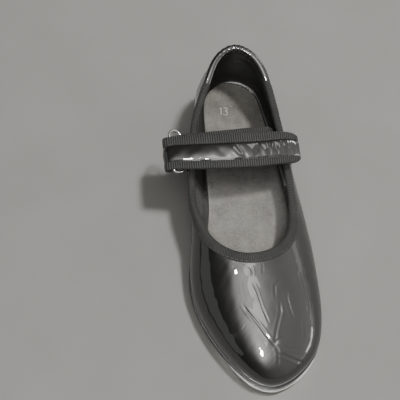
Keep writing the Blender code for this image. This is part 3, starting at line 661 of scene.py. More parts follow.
def waves(add, axis, pitch):
    """0 to 1 and back every pitch mm along one axis of the weave attribute."""
    turn = math_node(add, "MULTIPLY", weave_axes(add)[axis], math.tau / pitch)
    half = {0: math_node(add, "COSINE", turn), 1: 0.5, 2: 0.5}
    return add("Math", half, operation="MULTIPLY_ADD")


def bump(add, drive, height, distance, strength=1.0, after=None):
    """Relief of so many mm from a height, on top of an earlier one."""
    inputs = {"Height": height, "Distance": distance * MM, "Strength": strength}
    if after is not None:
        inputs["Normal"] = after
    made = add("Bump", inputs)
    drive("Normal", made)
    return made


def patent_finish(name, scuffs=0.5):
    """Black leather under a clear coat: a soft glow from below and a sharp reflection on top."""
    made, add, drive = finish(
        name, Coat_Weight=0.75, Coat_Roughness=0.02, Coat_IOR=2.0, IOR=1.45, Specular_IOR_Level=0.26,
    )
    spot = place_of(add)
    cloudy = noise(add, spot, 0.06, 4)
    dark, light = (0.003, 0.003, 0.0027), (0.007, 0.007, 0.0062)
    drive("Base Color", tone(add, cloudy, (0.3, dark), (0.75, light)))
    haze = noise(add, spot, 0.22, 6, 0.65)
    scratch = noise(add, place_of(add, 1.0, (0.3, 0.2, 0.7), (0.12, 2.4, 0.5)), 1.0, 2)
    mixed = math_node(add, "MULTIPLY", haze, scratch)
    drive("Roughness", level(add, mixed, 0.3, 0.34 + 0.25 * scuffs))
    orange = noise(add, spot, 0.55, 2)
    first = bump(add, drive, orange, 0.03, 0.3)
    bump(add, drive, noise(add, spot, 0.11, 1), 0.15, 0.3, first)
    return made


def grosgrain_finish(name, pitch, contrast, pale):
    """Ribbed ribbon: painted shade in the rib valleys and between the fine warp threads along it, against
    greyer rib crowns, with wear and fuzz varying the tone.
    """
    made, add, drive = finish(name, Roughness=0.8, Sheen_Weight=0.05, Sheen_Roughness=0.4)
    ribs = waves(add, 0, pitch)
    threads = waves(add, 1, 0.6)
    fuzz = noise(add, place_of(add), 1.5, 4, 0.75)
    wear = noise(add, place_of(add), 0.08, 4, 0.6)
    # Painted shade: the colour darkens in each rib valley and between the warp threads; the wear noise
    # also varies it.
    crown = level(add, ribs, 0.5 - contrast / 2, 0.5 + contrast / 2)
    crown = math_node(add, "MULTIPLY", crown, level(add, threads, 0.6, 1.0))
    crown = math_node(add, "MULTIPLY", crown, level(add, wear, 0.45, 1.15))
    mixed = math_node(add, "ADD", crown, math_node(add, "MULTIPLY", fuzz, 0.6))
    stops = ((0.25, grey(0.004)), (0.62, (0.027, 0.027, 0.0255)), (1.0, grey(pale, 0.94)))
    drive("Base Color", tone(add, mixed, *stops))
    first = bump(add, drive, threads, 0.06, 0.6)
    second = bump(add, drive, fuzz, 0.14, 0.6, first)
    bump(add, drive, ribs, 0.2 * contrast, 0.7, second)
    return made


def mesh_finish(name):
    """Textile with small open diamonds."""
    made, add, drive = finish(name, Roughness=0.9, Sheen_Weight=0.15)
    along, across = weave_axes(add)[:2]
    slants = []
    for operation in ("ADD", "SUBTRACT"):
        slant = math_node(add, operation, along, across)
        slants.append(math_node(add, "SINE", math_node(add, "MULTIPLY", slant, math.tau / 1.5)))
    cell = math_node(add, "MULTIPLY", *slants)
    net = level(add, math_node(add, "ABSOLUTE", cell), 1.0, 0.0)
    fuzz = noise(add, place_of(add), 1.3, 4, 0.7)
    mixed = math_node(add, "MULTIPLY", net, level(add, fuzz, 0.5, 1.5))
    # The stops are kept very dark, partly as painted shade of the shadowed inside wall; the pale top stop
    # gives the yarn's light flecks.
    stops = ((0.35, grey(0.003)), (0.65, (0.022, 0.022, 0.02)), (1.0, (0.3, 0.3, 0.28)))
    drive("Base Color", tone(add, mixed, *stops))
    bump(add, drive, mixed, 0.18, 0.8)
    return made


def cloth_finish(name, dark, light, roughness, sheen, grain=1.0, fine=0.6):
    """Plain lining: fine twill with a soft cloudy tone; on the satin lining the light patches are partly
    painted sheen.
    """
    made, add, drive = finish(name, Sheen_Weight=sheen, Sheen_Roughness=0.4)
    spot = place_of(add)
    cloud = noise(add, spot, 0.07, 6, 0.68)
    speck = noise(add, spot, grain, 3, 0.7)
    broad, small = math_node(add, "MULTIPLY", cloud, 0.6), math_node(add, "MULTIPLY", speck, 0.4)
    mixed = math_node(add, "ADD", broad, small)
    drive("Base Color", tone(add, mixed, (0.36, dark), (0.64, light)))
    drive("Roughness", level(add, cloud, roughness - 0.12, roughness + 0.12))
    twill = noise(add, place_of(add, 1.0, (0, 0, 0.7), (0.5, 3.0, 3.0)), 1.0, 2)
    first = bump(add, drive, twill, 0.05, fine)
    bump(add, drive, speck, 0.07, fine, first)
    return made


def rubber_finish(name, dark, light, roughness):
    """Matt rubber with cloudy wear and a fine grain."""
    made, add, drive = finish(name, Specular_IOR_Level=0.4)
    spot = place_of(add)
    cloud = noise(add, spot, 0.08, 5, 0.6)
    drive("Base Color", tone(add, cloud, (0.3, dark), (0.75, light)))
    drive("Roughness", level(add, noise(add, spot, 0.5, 5, 0.7), roughness - 0.1, roughness + 0.15))
    grain = noise(add, spot, 1.8, 4, 0.6)
    bump(add, drive, grain, 0.06, 0.5)
    return made


def metal_finish(name, colour, roughness, scratch=0.1, dull=0.12, tumbled=0.03):
    """Bare metal with darker patches, fine lines that roughen it, and a tumbled surface."""
    made, add, drive = finish(name, Metallic=1.0)
    spot = place_of(add)
    patches = noise(add, spot, 0.14, 5, 0.65)
    worn = tuple(c * 0.72 for c in colour)
    drive("Base Color", tone(add, patches, (0.3, worn), (0.62, colour)))
    lines = noise(add, place_of(add, 1.0, (0.2, 0.1, 0.5), (0.2, 3.5, 2.0)), 1.0, 3)
    drive("Roughness", add("Math", {0: lines, 1: scratch, 2: roughness}, operation="MULTIPLY_ADD"))
    first = bump(add, drive, noise(add, spot, 0.8, 3), tumbled, 0.5)
    bump(add, drive, lines, dull * 0.2, 0.3, first)
    return made


def thread_finish(name):
    """Twisted sewing thread."""
    made, add, drive = finish(name, Roughness=0.45, Sheen_Weight=0.1)
    twist = noise(add, place_of(add, 1.0, (0.6, 0.2, 0.8), (1.0, 5.0, 2.0)), 1.0, 2)
    drive("Base Color", tone(add, twist, (0.35, (0.04, 0.04, 0.037)), (0.7, (0.16, 0.16, 0.15))))
    bump(add, drive, twist, 0.08, 0.7)
    return made


def pad_finish(name, dark, light, pitch):
    """The hooks or loops of a fastening tape, as raised cells."""
    made, add, drive = finish(name, Roughness=0.85, Sheen_Weight=0.3)
    cells = add("TexVoronoi", {"Vector": place_of(add), "Scale": 1.0 / pitch})
    drive("Base Color", tone(add, cells, (0.0, light), (0.7, dark)))
    bump(add, drive, cells, 0.25, 0.8)
    return made


PATENT = (patent_finish("patent_black"), "patent")
PATENT_STRAP = (patent_finish("patent_strap", 0.8), "patent")
GROSGRAIN = (grosgrain_finish("grosgrain_ribbed", RIB_PITCH, 1.0, 0.14), "grosgrain")
RIBBON = (grosgrain_finish("ribbon_fine", RIBBON_PITCH, 0.7, 0.15), "grosgrain")
TEXTILE = (mesh_finish("mesh_textile"), "vamp_textile")
# Each cloth: name, dark, light, roughness, sheen, and for some the grain and depth of its weave.
SATIN, SOCK, PRINT, BOARD, FELT, STIFF = (
    (cloth_finish(*values), slot) for slot, *values in (
        # The satin lining's light colour is partly painted sheen: its cloudy light patches stand in for
        # light on its wrinkles.
        ("quarter_lining", "satin_lining", grey(0.006), (0.045, 0.045, 0.043), 0.36, 0.0),
        ("sock", "sock_satin", (0.2, 0.193, 0.172), (0.5, 0.48, 0.435), 0.45, 0.05, 1.1),
        ("sock", "pale_print", (0.72, 0.71, 0.68), (0.92, 0.91, 0.87), 0.5, 0.0),
        ("fibre_board", "leatherboard", (0.25, 0.18, 0.11), (0.42, 0.32, 0.21), 0.85, 0.0, 0.8, 0.8),
        ("felt", "filler_felt", (0.14, 0.14, 0.13), (0.26, 0.26, 0.25), 0.95, 0.3, 1.8, 1.0),
        ("stiffener", "stiffener_board", (0.42, 0.4, 0.35), (0.56, 0.54, 0.48), 0.8, 0.0),
    )
)
RUBBER = (rubber_finish("sole_black", grey(0.011), grey(0.026), 0.42), "sole_rubber")
ALUMINIUM = (metal_finish("tap_aluminium_worn", (0.8, 0.8, 0.78), 0.24, 0.2), "tap_aluminium")
STEEL = (metal_finish("steel_plain", (0.6, 0.6, 0.6), 0.25, 0.15), "steel")
NICKEL = (metal_finish("nickel_polished", (0.86, 0.85, 0.82), 0.07, 0.06, 0.05, 0.01), "nickel")
THREAD = (thread_finish("black_thread"), "grosgrain")
HOOK = (pad_finish("hook_tape", grey(0.006), grey(0.03), 0.7), "hook")
LOOP = (pad_finish("loop_tape", grey(0.012), grey(0.05), 0.35), "loop")


# ---- bottom ---------------------------------------------------------------------------------
def make_outsole():
    """The sole. Its levels make the rounded lower edge, a groove round it and the top corner."""
    at = toward(0.05, TOE_STATION - 0.04, 90)
    grid = rungs(at, STATIONS - at, -4.0, -4.0, 9)
    over = 4.0 + OUTSOLE_OVERHANG
    levels = (
        (0, 0.35, 0.35), (0, 0.75, 0.35), (0, 1.1, 0.0), (0, over - 0.5, 0.0), (0, over - 0.12, 0.12),
        (0, over, 0.45), (0, over, 1.0), (0, over - 0.28, 1.18), (0, over - 0.28, 1.38),
        (0, over, 1.56), (1, over, -0.4), (1, over - 0.1, -0.12), (1, over - 0.4, 0.0),
        (1, over - 2.2, 0.0),
    )
    body = slab(grid, grid, outsole_bottom, outsole_top, levels)
    piece("outsole_body", *body, RUBBER, nodes=["outsole"])


def heel_grid(outward, taper=1.0):
    """The heel's outline, filled with plan points. Its front edge is hollowed towards the heel."""
    medial = station_at(HEEL_BREAST_Y, 1.5, 4.5)
    lateral = station_at(HEEL_BREAST_Y, 15.5, 18.5)
    left = toward(medial, 0.05, 30)
    right = toward(lateral, STATIONS - 0.05, 30)
    fade = smoothstep(np.linspace(1.0, -0.6, 30))
    grid = rungs(left, right, outward, outward, 15, HEEL_BREAST_HOLLOW * fade)
    grid[..., 0] *= taper
    grid[..., 1] = HEEL_CENTRE_Y + (grid[..., 1] - HEEL_CENTRE_Y) * taper
    return grid


def make_heel():
    """The heel block, with a groove above its foot, and the heel tap."""
    foot, seat = heel_grid(HEEL_OVERHANG - 0.4, HEEL_TAPER), heel_grid(HEEL_OVERHANG - 0.4)
    levels = (
        (0, 0.28, 0.0), (0, 0.4, 0.2), (0.0, 0.38, 2.4), (0.0, 0.16, 2.55), (0.0, 0.16, 2.75),
        (0.0, 0.34, 2.9), (0.35, 0.12, 0.0), (0.6, 0.05, 0.0), (0.8, 0.16, 0.0), (1, 0.4, -0.25),
        (1, 0.3, 0.0),
    )
    body = slab(
        foot, seat, lambda y: TAP_THICKNESS + 0.05 + 0 * y, lambda y: outsole_bottom(y) - 0.02, levels
    )
    piece("heel_block_body", *body, RUBBER, nodes=["heel_block"])
    edge = ((0, 0.22, 0.06), (0, 0.38, 0.28), (1, 0.38, -0.2), (1, 0.25, -0.05))
    plate = slab(foot, foot, lambda y: 0 * y, lambda y: TAP_THICKNESS + 0 * y, edge)
    tap = piece("heel_tap_plate", *plate, ALUMINIUM, body=None)
    fit_tap(tap, "heel_tap", HEEL_SCREWS, lambda y: 0.0)


def tap_floor(y):
    """Height of the toe tap's underside."""
    return outsole_bottom(y) - GAP - TAP_THICKNESS


def make_toe_tap():
    """The toe tap, which stands out at the tip and draws in towards its ends."""
    rear_y, span, side, tip = -46.0, 2.2, -1.0, 1.4
    ends = [station_at(rear_y, 6.0, 9.0), station_at(rear_y, 11.0, 14.0)]
    grids = []
    for end in ends:
        at = toward(end, TOE_STATION + (0.03 if end > TOE_STATION else -0.03), 44)
        reach = smoothstep(1.25 * (1 - np.abs(at - TOE_STATION) / span))
        grids.append((at, OUTSOLE_OVERHANG + side + (tip - side) * reach - 0.4))
    (left, out_left), (right, out_right) = grids
    ys = feather(left)[:, 1]
    bow = -7.0 * smoothstep((ys + 75) / (rear_y + 75))
    grid = rungs(left, right, out_left, out_right, 21, bow)
    levels = (
        (0, 0.2, 0.05), (0, 0.35, 0.2), (0, 0.4, 0.4), (1, 0.4, -0.35), (1, 0.3, -0.12), (1, 0.12, 0.0),
    )
    body = slab(grid, grid, tap_floor, lambda y: tap_floor(y) + TAP_THICKNESS, levels)
    tap = piece("toe_tap_plate", *body, ALUMINIUM, body=None)
    fit_tap(tap, "toe_tap", TOE_SCREWS, tap_floor)


CORNERS = ((-1, -1), (1, -1), (1, 1), (-1, 1))
SCREW_SUNK = 0.35


def fit_tap(tap, label, spots, floor):
    """Countersinks the tap and drives a cross-head screw into each hole."""
    cutters = []
    for number, (x, y) in enumerate(spots, 1):
        low = float(floor(y)) + SCREW_SUNK
        cutters.append(turned(
            ((3.0, low - 2), (3.0, low - 0.28), (2.8, low + 0.02), (2.8, low + 0.3), (1.4, low + 1.1),
             (1.4, low + 4.7)), x, y,
        ))
        profile = (
            (0.7, low + 0.02), (1.9, low + 0.04), (2.4, low + 0.14), (2.5, low + 0.3), (1.2, low + 1.0),
            (1.1, low + 3.5), (0.25, low + 4.4),
        )
        screw = piece(f"{label}_screw_{number}_head", *turned(profile, x, y), STEEL, body=None)
        slots = []
        for wide, deep in ((1.5, 0.26), (0.26, 1.5)):
            rings = [
                [(x + i * wide * s, y + j * deep * s, z) for i, j in CORNERS]
                for s, z in ((1.0, low - 0.5), (1.0, low + 0.05), (0.6, low + 0.75))
            ]
            slots.append(sweep(rings))
        bore(screw, slots)
        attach(screw, "shoe")
        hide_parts(f"{label}_screw_{number}")
    bore(tap, cutters)
    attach(tap, "shoe")
    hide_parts(label)


# Where the foot has pressed the sock in: middle in plan, size along x and y, depth.
TRODDEN = (((-0.5, 72.0), (15.0, 20.0), 0.35), ((1.0, -30.0), (22.0, 22.0), 0.25))
SOCK_UNEVEN = 0.05


def sock_top(x, y):
    """Height of the sock's face: trodden in a little under the heel and the ball."""
    height = outsole_top(y) + FOOT_FLOOR + GAP + SOCK_THICKNESS
    for (middle_x, middle_y), (wide, long), depth in TRODDEN:
        away = ((x - middle_x) / wide) ** 2 + ((y - middle_y) / long) ** 2
        height = height - depth * np.exp(-away)
    return height + SOCK_UNEVEN * ripple(np.stack([x, y, 0 * x], axis=-1), 17.0, 11)


def make_sock():
    """The sock's sheet, with rounded edges and its face pressed into shape inside its rim."""
    rows, columns = 110, 25
    at = toward(0.05, TOE_STATION - 0.05, rows)
    left, right = (-sock_inset(feather(side)) - (GAP + 0.35) for side in (at, STATIONS - at))
    grid = rungs(at, STATIONS - at, left, right, columns)
    levels = ((0, 0.3, 0.08), (0, 0.35, 0.3), (1, 0.35, -0.3), (1, 0.25, -0.08))
    floor = FOOT_FLOOR + GAP
    points, faces = slab(
        grid, grid, lambda y: outsole_top(y) + floor, lambda y: outsole_top(y) + floor + SOCK_THICKNESS,
        levels,
    )
    size = rows * columns
    top = points[size : 2 * size]
    rim = np.ones((rows, columns))
    rim[0] = rim[-1] = rim[:, 0] = rim[:, -1] = 0
    wanted = sock_top(top[:, 0], top[:, 1])
    top[:, 2] += (wanted - top[:, 2]) * rim.ravel()
    piece("sock_sheet", points, faces, SOCK, nodes=["sock"])


def stroke_arc(x, y, wide, high, first, last):
    """Part of a figure's stroke, from one angle to another round from its top."""
    angles = [math.radians(a) for a in range(first, last, 15)]
    return tuple((x + wide * math.sin(a), y + high * math.cos(a)) for a in angles)


NUMBER_STROKES = (
    ((-2.05, 1.35), (-1.25, 2.3), (-1.25, -2.3)),
    stroke_arc(1.1, 1.2, 0.95, 1.1, -65, 196) + stroke_arc(1.05, -1.1, 1.15, 1.25, 15, 246),
)
NUMBER_AT = (-6.0, 74.4)  # middle of the number in plan
NUMBER_TURN = -5.0  # degrees
NUMBER_SIZE = 1.15
STROKE_HALF = 0.3


def make_number():
    """The size number printed on the sock."""
    c, s = math.cos(math.radians(NUMBER_TURN)), math.sin(math.radians(NUMBER_TURN))
    parts = []
    for stroke in NUMBER_STROKES:
        path = NUMBER_SIZE * vectors([(u * c - v * s, u * s + v * c, 0) for u, v in stroke])
        spots = np.linspace(0, lengths(path)[-1], 3 * len(path))
        path = along_path(path, spots) + (*NUMBER_AT, 0)
        along = unit(np.gradient(path, axis=0))
        side = np.stack([-along[:, 1], along[:, 0], 0 * along[:, 0]], axis=-1) * STROKE_HALF
        edges = []
        for turn, lift in ((-1, -0.03), (1, -0.03), (0.8, 0.07), (-0.8, 0.07)):
            rail = path + side * turn
            rail[:, 2] = sock_top(rail[:, 0], rail[:, 1]) + lift
            edges.append(rail)
        parts.append(sweep(np.stack(edges, axis=1)))
    piece("sock_number", *join(parts), PRINT)


# ---- upper ----------------------------------------------------------------------------------
# Creases of the vamp: path in plan, width, depth.
CREASES = (
    (((-8.5, -32.5), (-5.5, -34.5), (-3, -37), (-2.5, -38.5), (-3.5, -41)), 0.5, 0.21),
    (((-9, -44), (-9, -49), (-8, -53.5), (-10, -55.5)), 0.55, 0.03),
    (((-9.5, -56.5), (-8, -59.5), (-1.5, -69), (1.5, -74), (6, -80)), 0.5, 0.26),
    (((-3.5, -44), (-1.5, -48.5), (1, -59), (4, -67.5)), 0.4, 0.15),
    (((-2.5, -49.5), (-1.5, -55), (1, -62)), 0.4, 0.06),
    (((6, -79), (8.5, -77), (15, -75)), 0.5, 0.14),
    (((7, -80), (11, -81), (20, -83)), 0.5, 0.15),
    (((6.5, -81), (8.5, -84.5), (16.5, -88), (22, -89.5)), 0.6, 0.24),
    (((7, -82.5), (7.5, -87), (6, -95)), 0.55, 0.14),
    (((6.5, -78), (7.5, -73), (11.5, -62), (11.5, -56.5)), 0.6, 0.14),
    (((17, -49), (16, -54.5), (17, -60), (18.5, -65.5)), 0.6, 0.15),
    (((13.5, -43.5), (9.5, -47.5), (9, -53.5)), 0.55, 0.09),
    (((25.5, -39.5), (28, -55.5), (28, -62.5)), 0.6, 0.15),
    (((24, -67), (23.5, -76)), 0.55, 0.14),
    (((21, -94), (26.5, -89.5)), 0.45, 0.14),
    (((-16, -70.5), (-14.5, -73.5)), 0.3, 0.11),
    (((-11, -69.5), (-9, -67.5)), 0.3, 0.06),
    (((2.5, -33.5), (4, -36), (3, -39.5), (9, -39.5)), 0.45, 0.09),
)
# Broad hollows and swells of the vamp: middle in plan, size along x and y, mm up.
SWELLS = (
    ((6.0, -79.0), (2.2, 2.2), -0.3),
    ((-11.5, -36.5), (9.0, 8.0), 0.35),
    ((16.0, -72.0), (9.0, 15.0), -0.55),
)
# Waviness of all the patent: height, wavelength, seed.
RIPPLES = ((0.045, 30.0, 3), (0.018, 9.0, 4), (0.008, 3.2, 9))


CREASED_ABOVE, CREASED_OVER = 12.0, 8.0  # height above the floor, and mm over which creases grow
CALM_TOP = 0.12  # share of the height below the topline over which the relief dies out


def relief(spots, top_gap):
    """Mm that the patent stands out from its plain shape. top_gap is the height share left."""
    lift = sum(height * ripple(spots, wavelength, seed) for height, wavelength, seed in RIPPLES)
    on_top = smoothstep((spots[..., 2] - CREASED_ABOVE) / CREASED_OVER)
    for path, width, depth in CREASES:
        lift = lift + on_top * groove(spots, path, width, depth)
    for middle, size, rise in SWELLS:
        away = np.linalg.norm((spots[..., :2] - middle) / size, axis=-1)
        lift = lift + rise * on_top * np.exp(-(away**2))
    return lift * smoothstep(top_gap / CALM_TOP)


def spaced(first, last, per_station, toe_extra=0):
    """Stations from first to last, so many to each, and more of them round the toe."""
    marks = [first]
    while marks[-1] < last - 1e-6:
        near_toe = abs(marks[-1] % STATIONS - TOE_STATION) < 3.5
        marks.append(marks[-1] + 1 / (per_station + (toe_extra if near_toe else 0)))
    at = np.array(marks)
    return first + (at - first) * (last - first) / (at[-1] - first)


LAP_FADE = 0.45  # stations over which a lapped end comes down again
LAP_THINNED = 0.55
TUCKS = ((0.7, 0.02), (1.9, 0.3))  # mm inward and up at the feather line, outside then inside


def upper_skin(name, node, at, rows, edge_lift=(0.0, 0.0)):
    """A patent panel, tucked in at the feather line. edge_lift raises either end over its
    neighbour."""
    share = np.linspace(0, 1, rows) ** 0.9
    grid_at, grid_share = np.meshgrid(at, share, indexing="ij")
    spots = wall(grid_at, grid_share)
    lift = relief(spots, 1 - grid_share)
    ends = np.zeros(len(at))
    thick = np.full(len(at), UPPER_THICKNESS)
    for lap, station, way in ((edge_lift[0], at[0], 1), (edge_lift[1], at[-1], -1)):
        if lap:
            near = smoothstep(2 * np.clip(1 - (at - station) * way / LAP_FADE, 0, 1))
            ends += lap * near
            thick -= LAP_THINNED * near
    out = -(lift + ends[:, None])
    outer = inside(grid_at, grid_share, out)
    inner = inside(grid_at, grid_share, out * 0 - ends[:, None] + thick[:, None])
    for grid, (inward, up) in zip((outer, inner), TUCKS):
        tuck = feather(at, -inward)
        grid[:, 0, :2] = tuck
        grid[:, 0, 2] = outsole_top(tuck[:, 1]) + up
    return piece(name, *shell(outer, inner), PATENT, nodes=[node])


def make_upper():
    """The vamp, which laps over the quarters at the side seams, and the seams' stitches."""
    at = spaced(MEDIAL_SEAM - 0.12, LATERAL_SEAM + 0.12, 14, 18)
    upper_skin("vamp_skin", "vamp", at, 120, (0.75, 0.75))
    for side, first, last in (
        ("medial", 0.006, MEDIAL_SEAM + 0.1), ("lateral", LATERAL_SEAM - 0.1, STATIONS - 0.006),
    ):
        upper_skin(f"quarter_{side}_skin", f"quarter_{side}", spaced(first, last, 14), 40)
    rows = []
    count = 60
    for station, top, lift in (
        (MEDIAL_SEAM + 0.02, 0.84, 0.74), (MEDIAL_SEAM + 0.12, 0.84, 0.74),
        (LATERAL_SEAM - 0.02, 0.84, 0.74), (LATERAL_SEAM - 0.12, 0.84, 0.74),
        (-0.09, 0.86, 0.02), (0.09, 0.86, 0.02),
    ):
        at, share = np.full(count, station), np.linspace(0.06, top, count)
        path = inside(at, share, np.full(count, -lift))
        rows.append(stitch_row(path, wall_normal(at, share)))
    piece("seam_stitches", *join(rows), THREAD)


# Creases of the satin: wavelength, seed, depth all round and more at the back, and how many
# stations the back spreads over. They stop at a share of the height.
CREASE_WAVE, CREASE_SEED = 6.0, 21
CREASE_DEPTH, CREASE_AT_BACK, BACK_SPREAD = 0.06, 0.3, 1.6
CREASE_TOP = 0.8


def lining_skin(name, node, at, look):
    """A lining from the sock's edge, round the inside corner and up into the binding. The satin
    one is creased, most of all at the back."""
    share = np.linspace(0.2, 0.995, 34)
    grid_at, grid_share = np.meshgrid(at, share, indexing="ij")
    below = share_below_topline(at, BINDING_WIDTH + 4.0)[:, None]
    up_high = smoothstep((grid_share - below) / (1 - below) * 1.6)
    low_depth = LINING_DEPTH + 0.15
    depth = low_depth - (low_depth - UPPER_THICKNESS - GAP) * up_high
    outline = feather(at)
    edge = outline - feather_normal(at) * sock_inset(outline)[:, None]
    surfaces = []
    for extra in (LINING_THICKNESS, 0.0):
        climb = inside(grid_at, grid_share, depth + extra)
        floor = outsole_top(edge[:, 1]) + FOOT_FLOOR + GAP + extra
        start = np.column_stack([edge, floor])
        corner = np.column_stack([feather(at, -(LINING_DEPTH + extra + 0.3)), floor])
        t = np.linspace(0, 1, 9)[None, :-1, None]
        bend = (1 - t) ** 2 * start[:, None] + 2 * t * (1 - t) * corner[:, None] + t**2 * climb[:, :1]
        surfaces.append(np.concatenate([bend, climb], axis=1))
    outer, inner = surfaces
    if look is SATIN:
        folds = ripple(outer * (1.0, 1.0, 0.3), CREASE_WAVE, CREASE_SEED)
        at_back = np.exp(-((grid_at[:, :1] / BACK_SPREAD) ** 2))
        creased = np.linspace(0, 1, folds.shape[1]) < CREASE_TOP
        rise = (CREASE_DEPTH + CREASE_AT_BACK * at_back) * (folds + 1) * creased
        inner = inner - wall_normal(grid_at[:, :1], grid_share[:, :1]) * rise[..., None]
    along = lengths(outer[:, len(share) // 2])
    across = np.array([lengths(row) for row in outer])
    weave = np.dstack([np.broadcast_to(along[:, None], across.shape), across, 0 * across])
    both = np.concatenate([weave.reshape(-1, 3), weave.reshape(-1, 3)])
    return piece(name, *shell(outer, inner), look, nodes=[node], weave=both)


def make_linings():
    """The vamp's textile lining, and the satin one round the heel."""
    low, high = MEDIAL_SEAM + 0.5, LATERAL_SEAM - 0.5
    lining_skin("vamp_lining_cloth", "vamp_lining", spaced(low, high, 10), TEXTILE)
    lining_skin("quarter_lining_cloth", "quarter_lining", spaced(high - STATIONS, low, 10), SATIN)


def edge_place(at, out, height):
    """Points round the topline. out is mm outward from the upper's face, height is mm above the
    topline, following the wall when below it."""
    at, out, height = np.broadcast_arrays(at[:, None], out, height)
    low = share_below_topline(at[:, 0], BINDING_WIDTH)
    rise = unit(wall(at[:, 0], np.ones(len(at))) - wall(at[:, 0], low))
    share = 1 + np.minimum(height, 0) / BINDING_WIDTH * (1 - low[:, None])
    return inside(at, share, -out) + rise[:, None] * np.maximum(height, 0)[..., None]


def fold_over(outer_width, inner_width, thickness=BINDING_THICKNESS, crown=0.9):
    """The section of a strip folded over the topline: outward and height of its outside, from the
    outer edge to the inner one, and then of its inside, going back."""
    middle, half = -1.15, 2.05
    turn = np.radians(np.linspace(0, 180, 9))
    arc = np.column_stack([middle + half * np.cos(turn), -1.1 + (1.1 + crown) * np.sin(turn) ** 0.8])
    outside = [
        (0.02, -outer_width), (0.5, -outer_width + 0.05), (0.78, -outer_width + 0.45), (0.86, -3.0),
    ]
    inward = [
        (-3.12, -3.0), (-3.08, -inner_width + 0.5), (-2.8, -inner_width + 0.05), (-2.3, -inner_width),
    ]
    front = np.array(outside + arc.tolist() + inward)
    half_in = half - thickness
    outer, inner = middle + half_in, middle - half_in
    back = np.array([
        (inner, -inner_width * 0.8), (inner, -1.2), (middle - half_in * 0.6, 0.15),
        (middle + half_in * 0.6, 0.15), (outer, -1.2), (outer - 0.2, -outer_width * 0.8),
    ])
    return front, back


def outline_normals(front):
    """The outward direction at each point of a strip's outline."""
    way = np.gradient(front, axis=0)
    return unit(np.column_stack([way[:, 1], -way[:, 0]]))


def with_back(outside, back):
    """Each section of a strip's outside, followed by the inside that they share."""
    return np.concatenate([outside, np.broadcast_to(back, (len(outside), *back.shape))], axis=1)


def edge_stitches(name, at, places):
    """Rows of stitches round the topline, one for each (outward, height)."""
    rows = []
    for out, height in places:
        path, inner = (edge_place(at, [[where]], [[height]])[:, 0] for where in (out, -1.0))
        rows.append(stitch_row(path, unit(path - inner)))
    piece(name, *join(rows), THREAD)


def make_ribbon():
    """The ribbed ribbon over the topline, in front of the heel collar."""
    fine = np.linspace(MEDIAL_COLLAR, LATERAL_COLLAR, 1500)
    along = lengths(wall(fine, np.ones_like(fine)))
    spots = np.arange(0, along[-1], RIBBON_PITCH / 3)
    high = np.where(np.arange(len(spots)) % 3 == 0, -RIB_RISE, RIB_RISE / 2)
    at = np.interp(spots, along, fine)
    front, back = fold_over(BINDING_WIDTH, BINDING_WIDTH)
    outline = with_back(front + outline_normals(front) * high[:, None, None], back)
    sag = 0.06 * ripple(np.column_stack([spots, 0 * spots, 0 * spots]), 9.0, 31)
    sections = edge_place(at, outline[..., 0] + sag[:, None], outline[..., 1])
    across = np.concatenate([lengths(front), np.full(len(back), 3.0)])
    weave = np.dstack(np.broadcast_arrays(spots[:, None], across, np.zeros(sections.shape[:2])))
    piece("topline_ribbon", *sweep(sections), RIBBON, nodes=["topline_binding"], weave=weave)
    edge_stitches("topline_stitches", fine[::3], ((0.8, -4.3), (-3.1, -4.3)))


COLLAR_PUFF, GATHER_RISE = 0.18, 0.16
GATHER_PITCH, GATHER_SPREAD = 3.1, 0.75  # mm, and stations either side of the back


def make_collar():
    """The patent strip over the topline round the heel, gathered at the back."""
    at = spaced(LATERAL_COLLAR - STATIONS - 0.04, MEDIAL_COLLAR + 0.04, 40)
    front, back = fold_over(3.6, 6.4, 0.55, 1.0)
    along = lengths(wall(at, np.ones_like(at)))
    centre = np.exp(-((at / GATHER_SPREAD) ** 2))
    gather = centre * np.sin(along * math.tau / GATHER_PITCH + 1.5 * np.sin(along / 4.0))
    ends = np.clip(np.minimum(at - at[0], at[-1] - at) / 0.1, 0, 1)
    swell = COLLAR_PUFF + GATHER_RISE * gather
    weight = np.clip(smoothstep((front[:, 1] + 4.5) / 4.0), 0, 1)
    puff = (swell[:, None] * weight * ends[:, None])[..., None]
    outline = with_back(front + outline_normals(front) * puff, back)
    sections = edge_place(at, outline[..., 0], outline[..., 1])
    piece("heel_collar_skin", *sweep(sections), PATENT, nodes=["heel_collar"])
    edge_stitches("heel_collar_stitches", at, ((0.82, -2.9), (-3.1, -5.5)))


# ---- strap ----------------------------------------------------------------------------------
def strap_path():
    """The strap's whole middle line at every third of a rib: x, z, y of its middle, with the
    numbers of the places where the fold starts and ends."""
    base_count, fold_count, flap_count = 150, 60, 200
    base = open_spline(BASE_LINE + (on_fold(FOLD_START),), base_count)
    fold = np.array([on_fold(a) for a in np.linspace(FOLD_START, FOLD_END, fold_count)])
    flap = open_spline((on_fold(FOLD_END),) + FLAP_LINE, flap_count)
    middle = [base_y(x) for x, z in base]
    middle += [fold_y(share) for share in np.linspace(0, 1, fold_count)[1:]]
    middle += [flap_y(x) for x, z in flap[1:]]
    joined = np.column_stack([np.concatenate([base, fold[1:], flap[1:]]), middle])
    at = lengths(joined)
    spots = np.arange(0, at[-1], RIB_PITCH / 3)
    line = along_path(joined, spots)
    kernel = np.array([1, 3, 5, 6, 5, 3, 1]) / 24
    smooth = line.copy()
    for k in range(3):
        smooth[3:-3, k] = np.convolve(line[:, k], kernel, "valid")
    first, last = np.searchsorted(spots, at[[base_count - 1, base_count + fold_count - 2]])
    return smooth, spots, int(first), int(last)


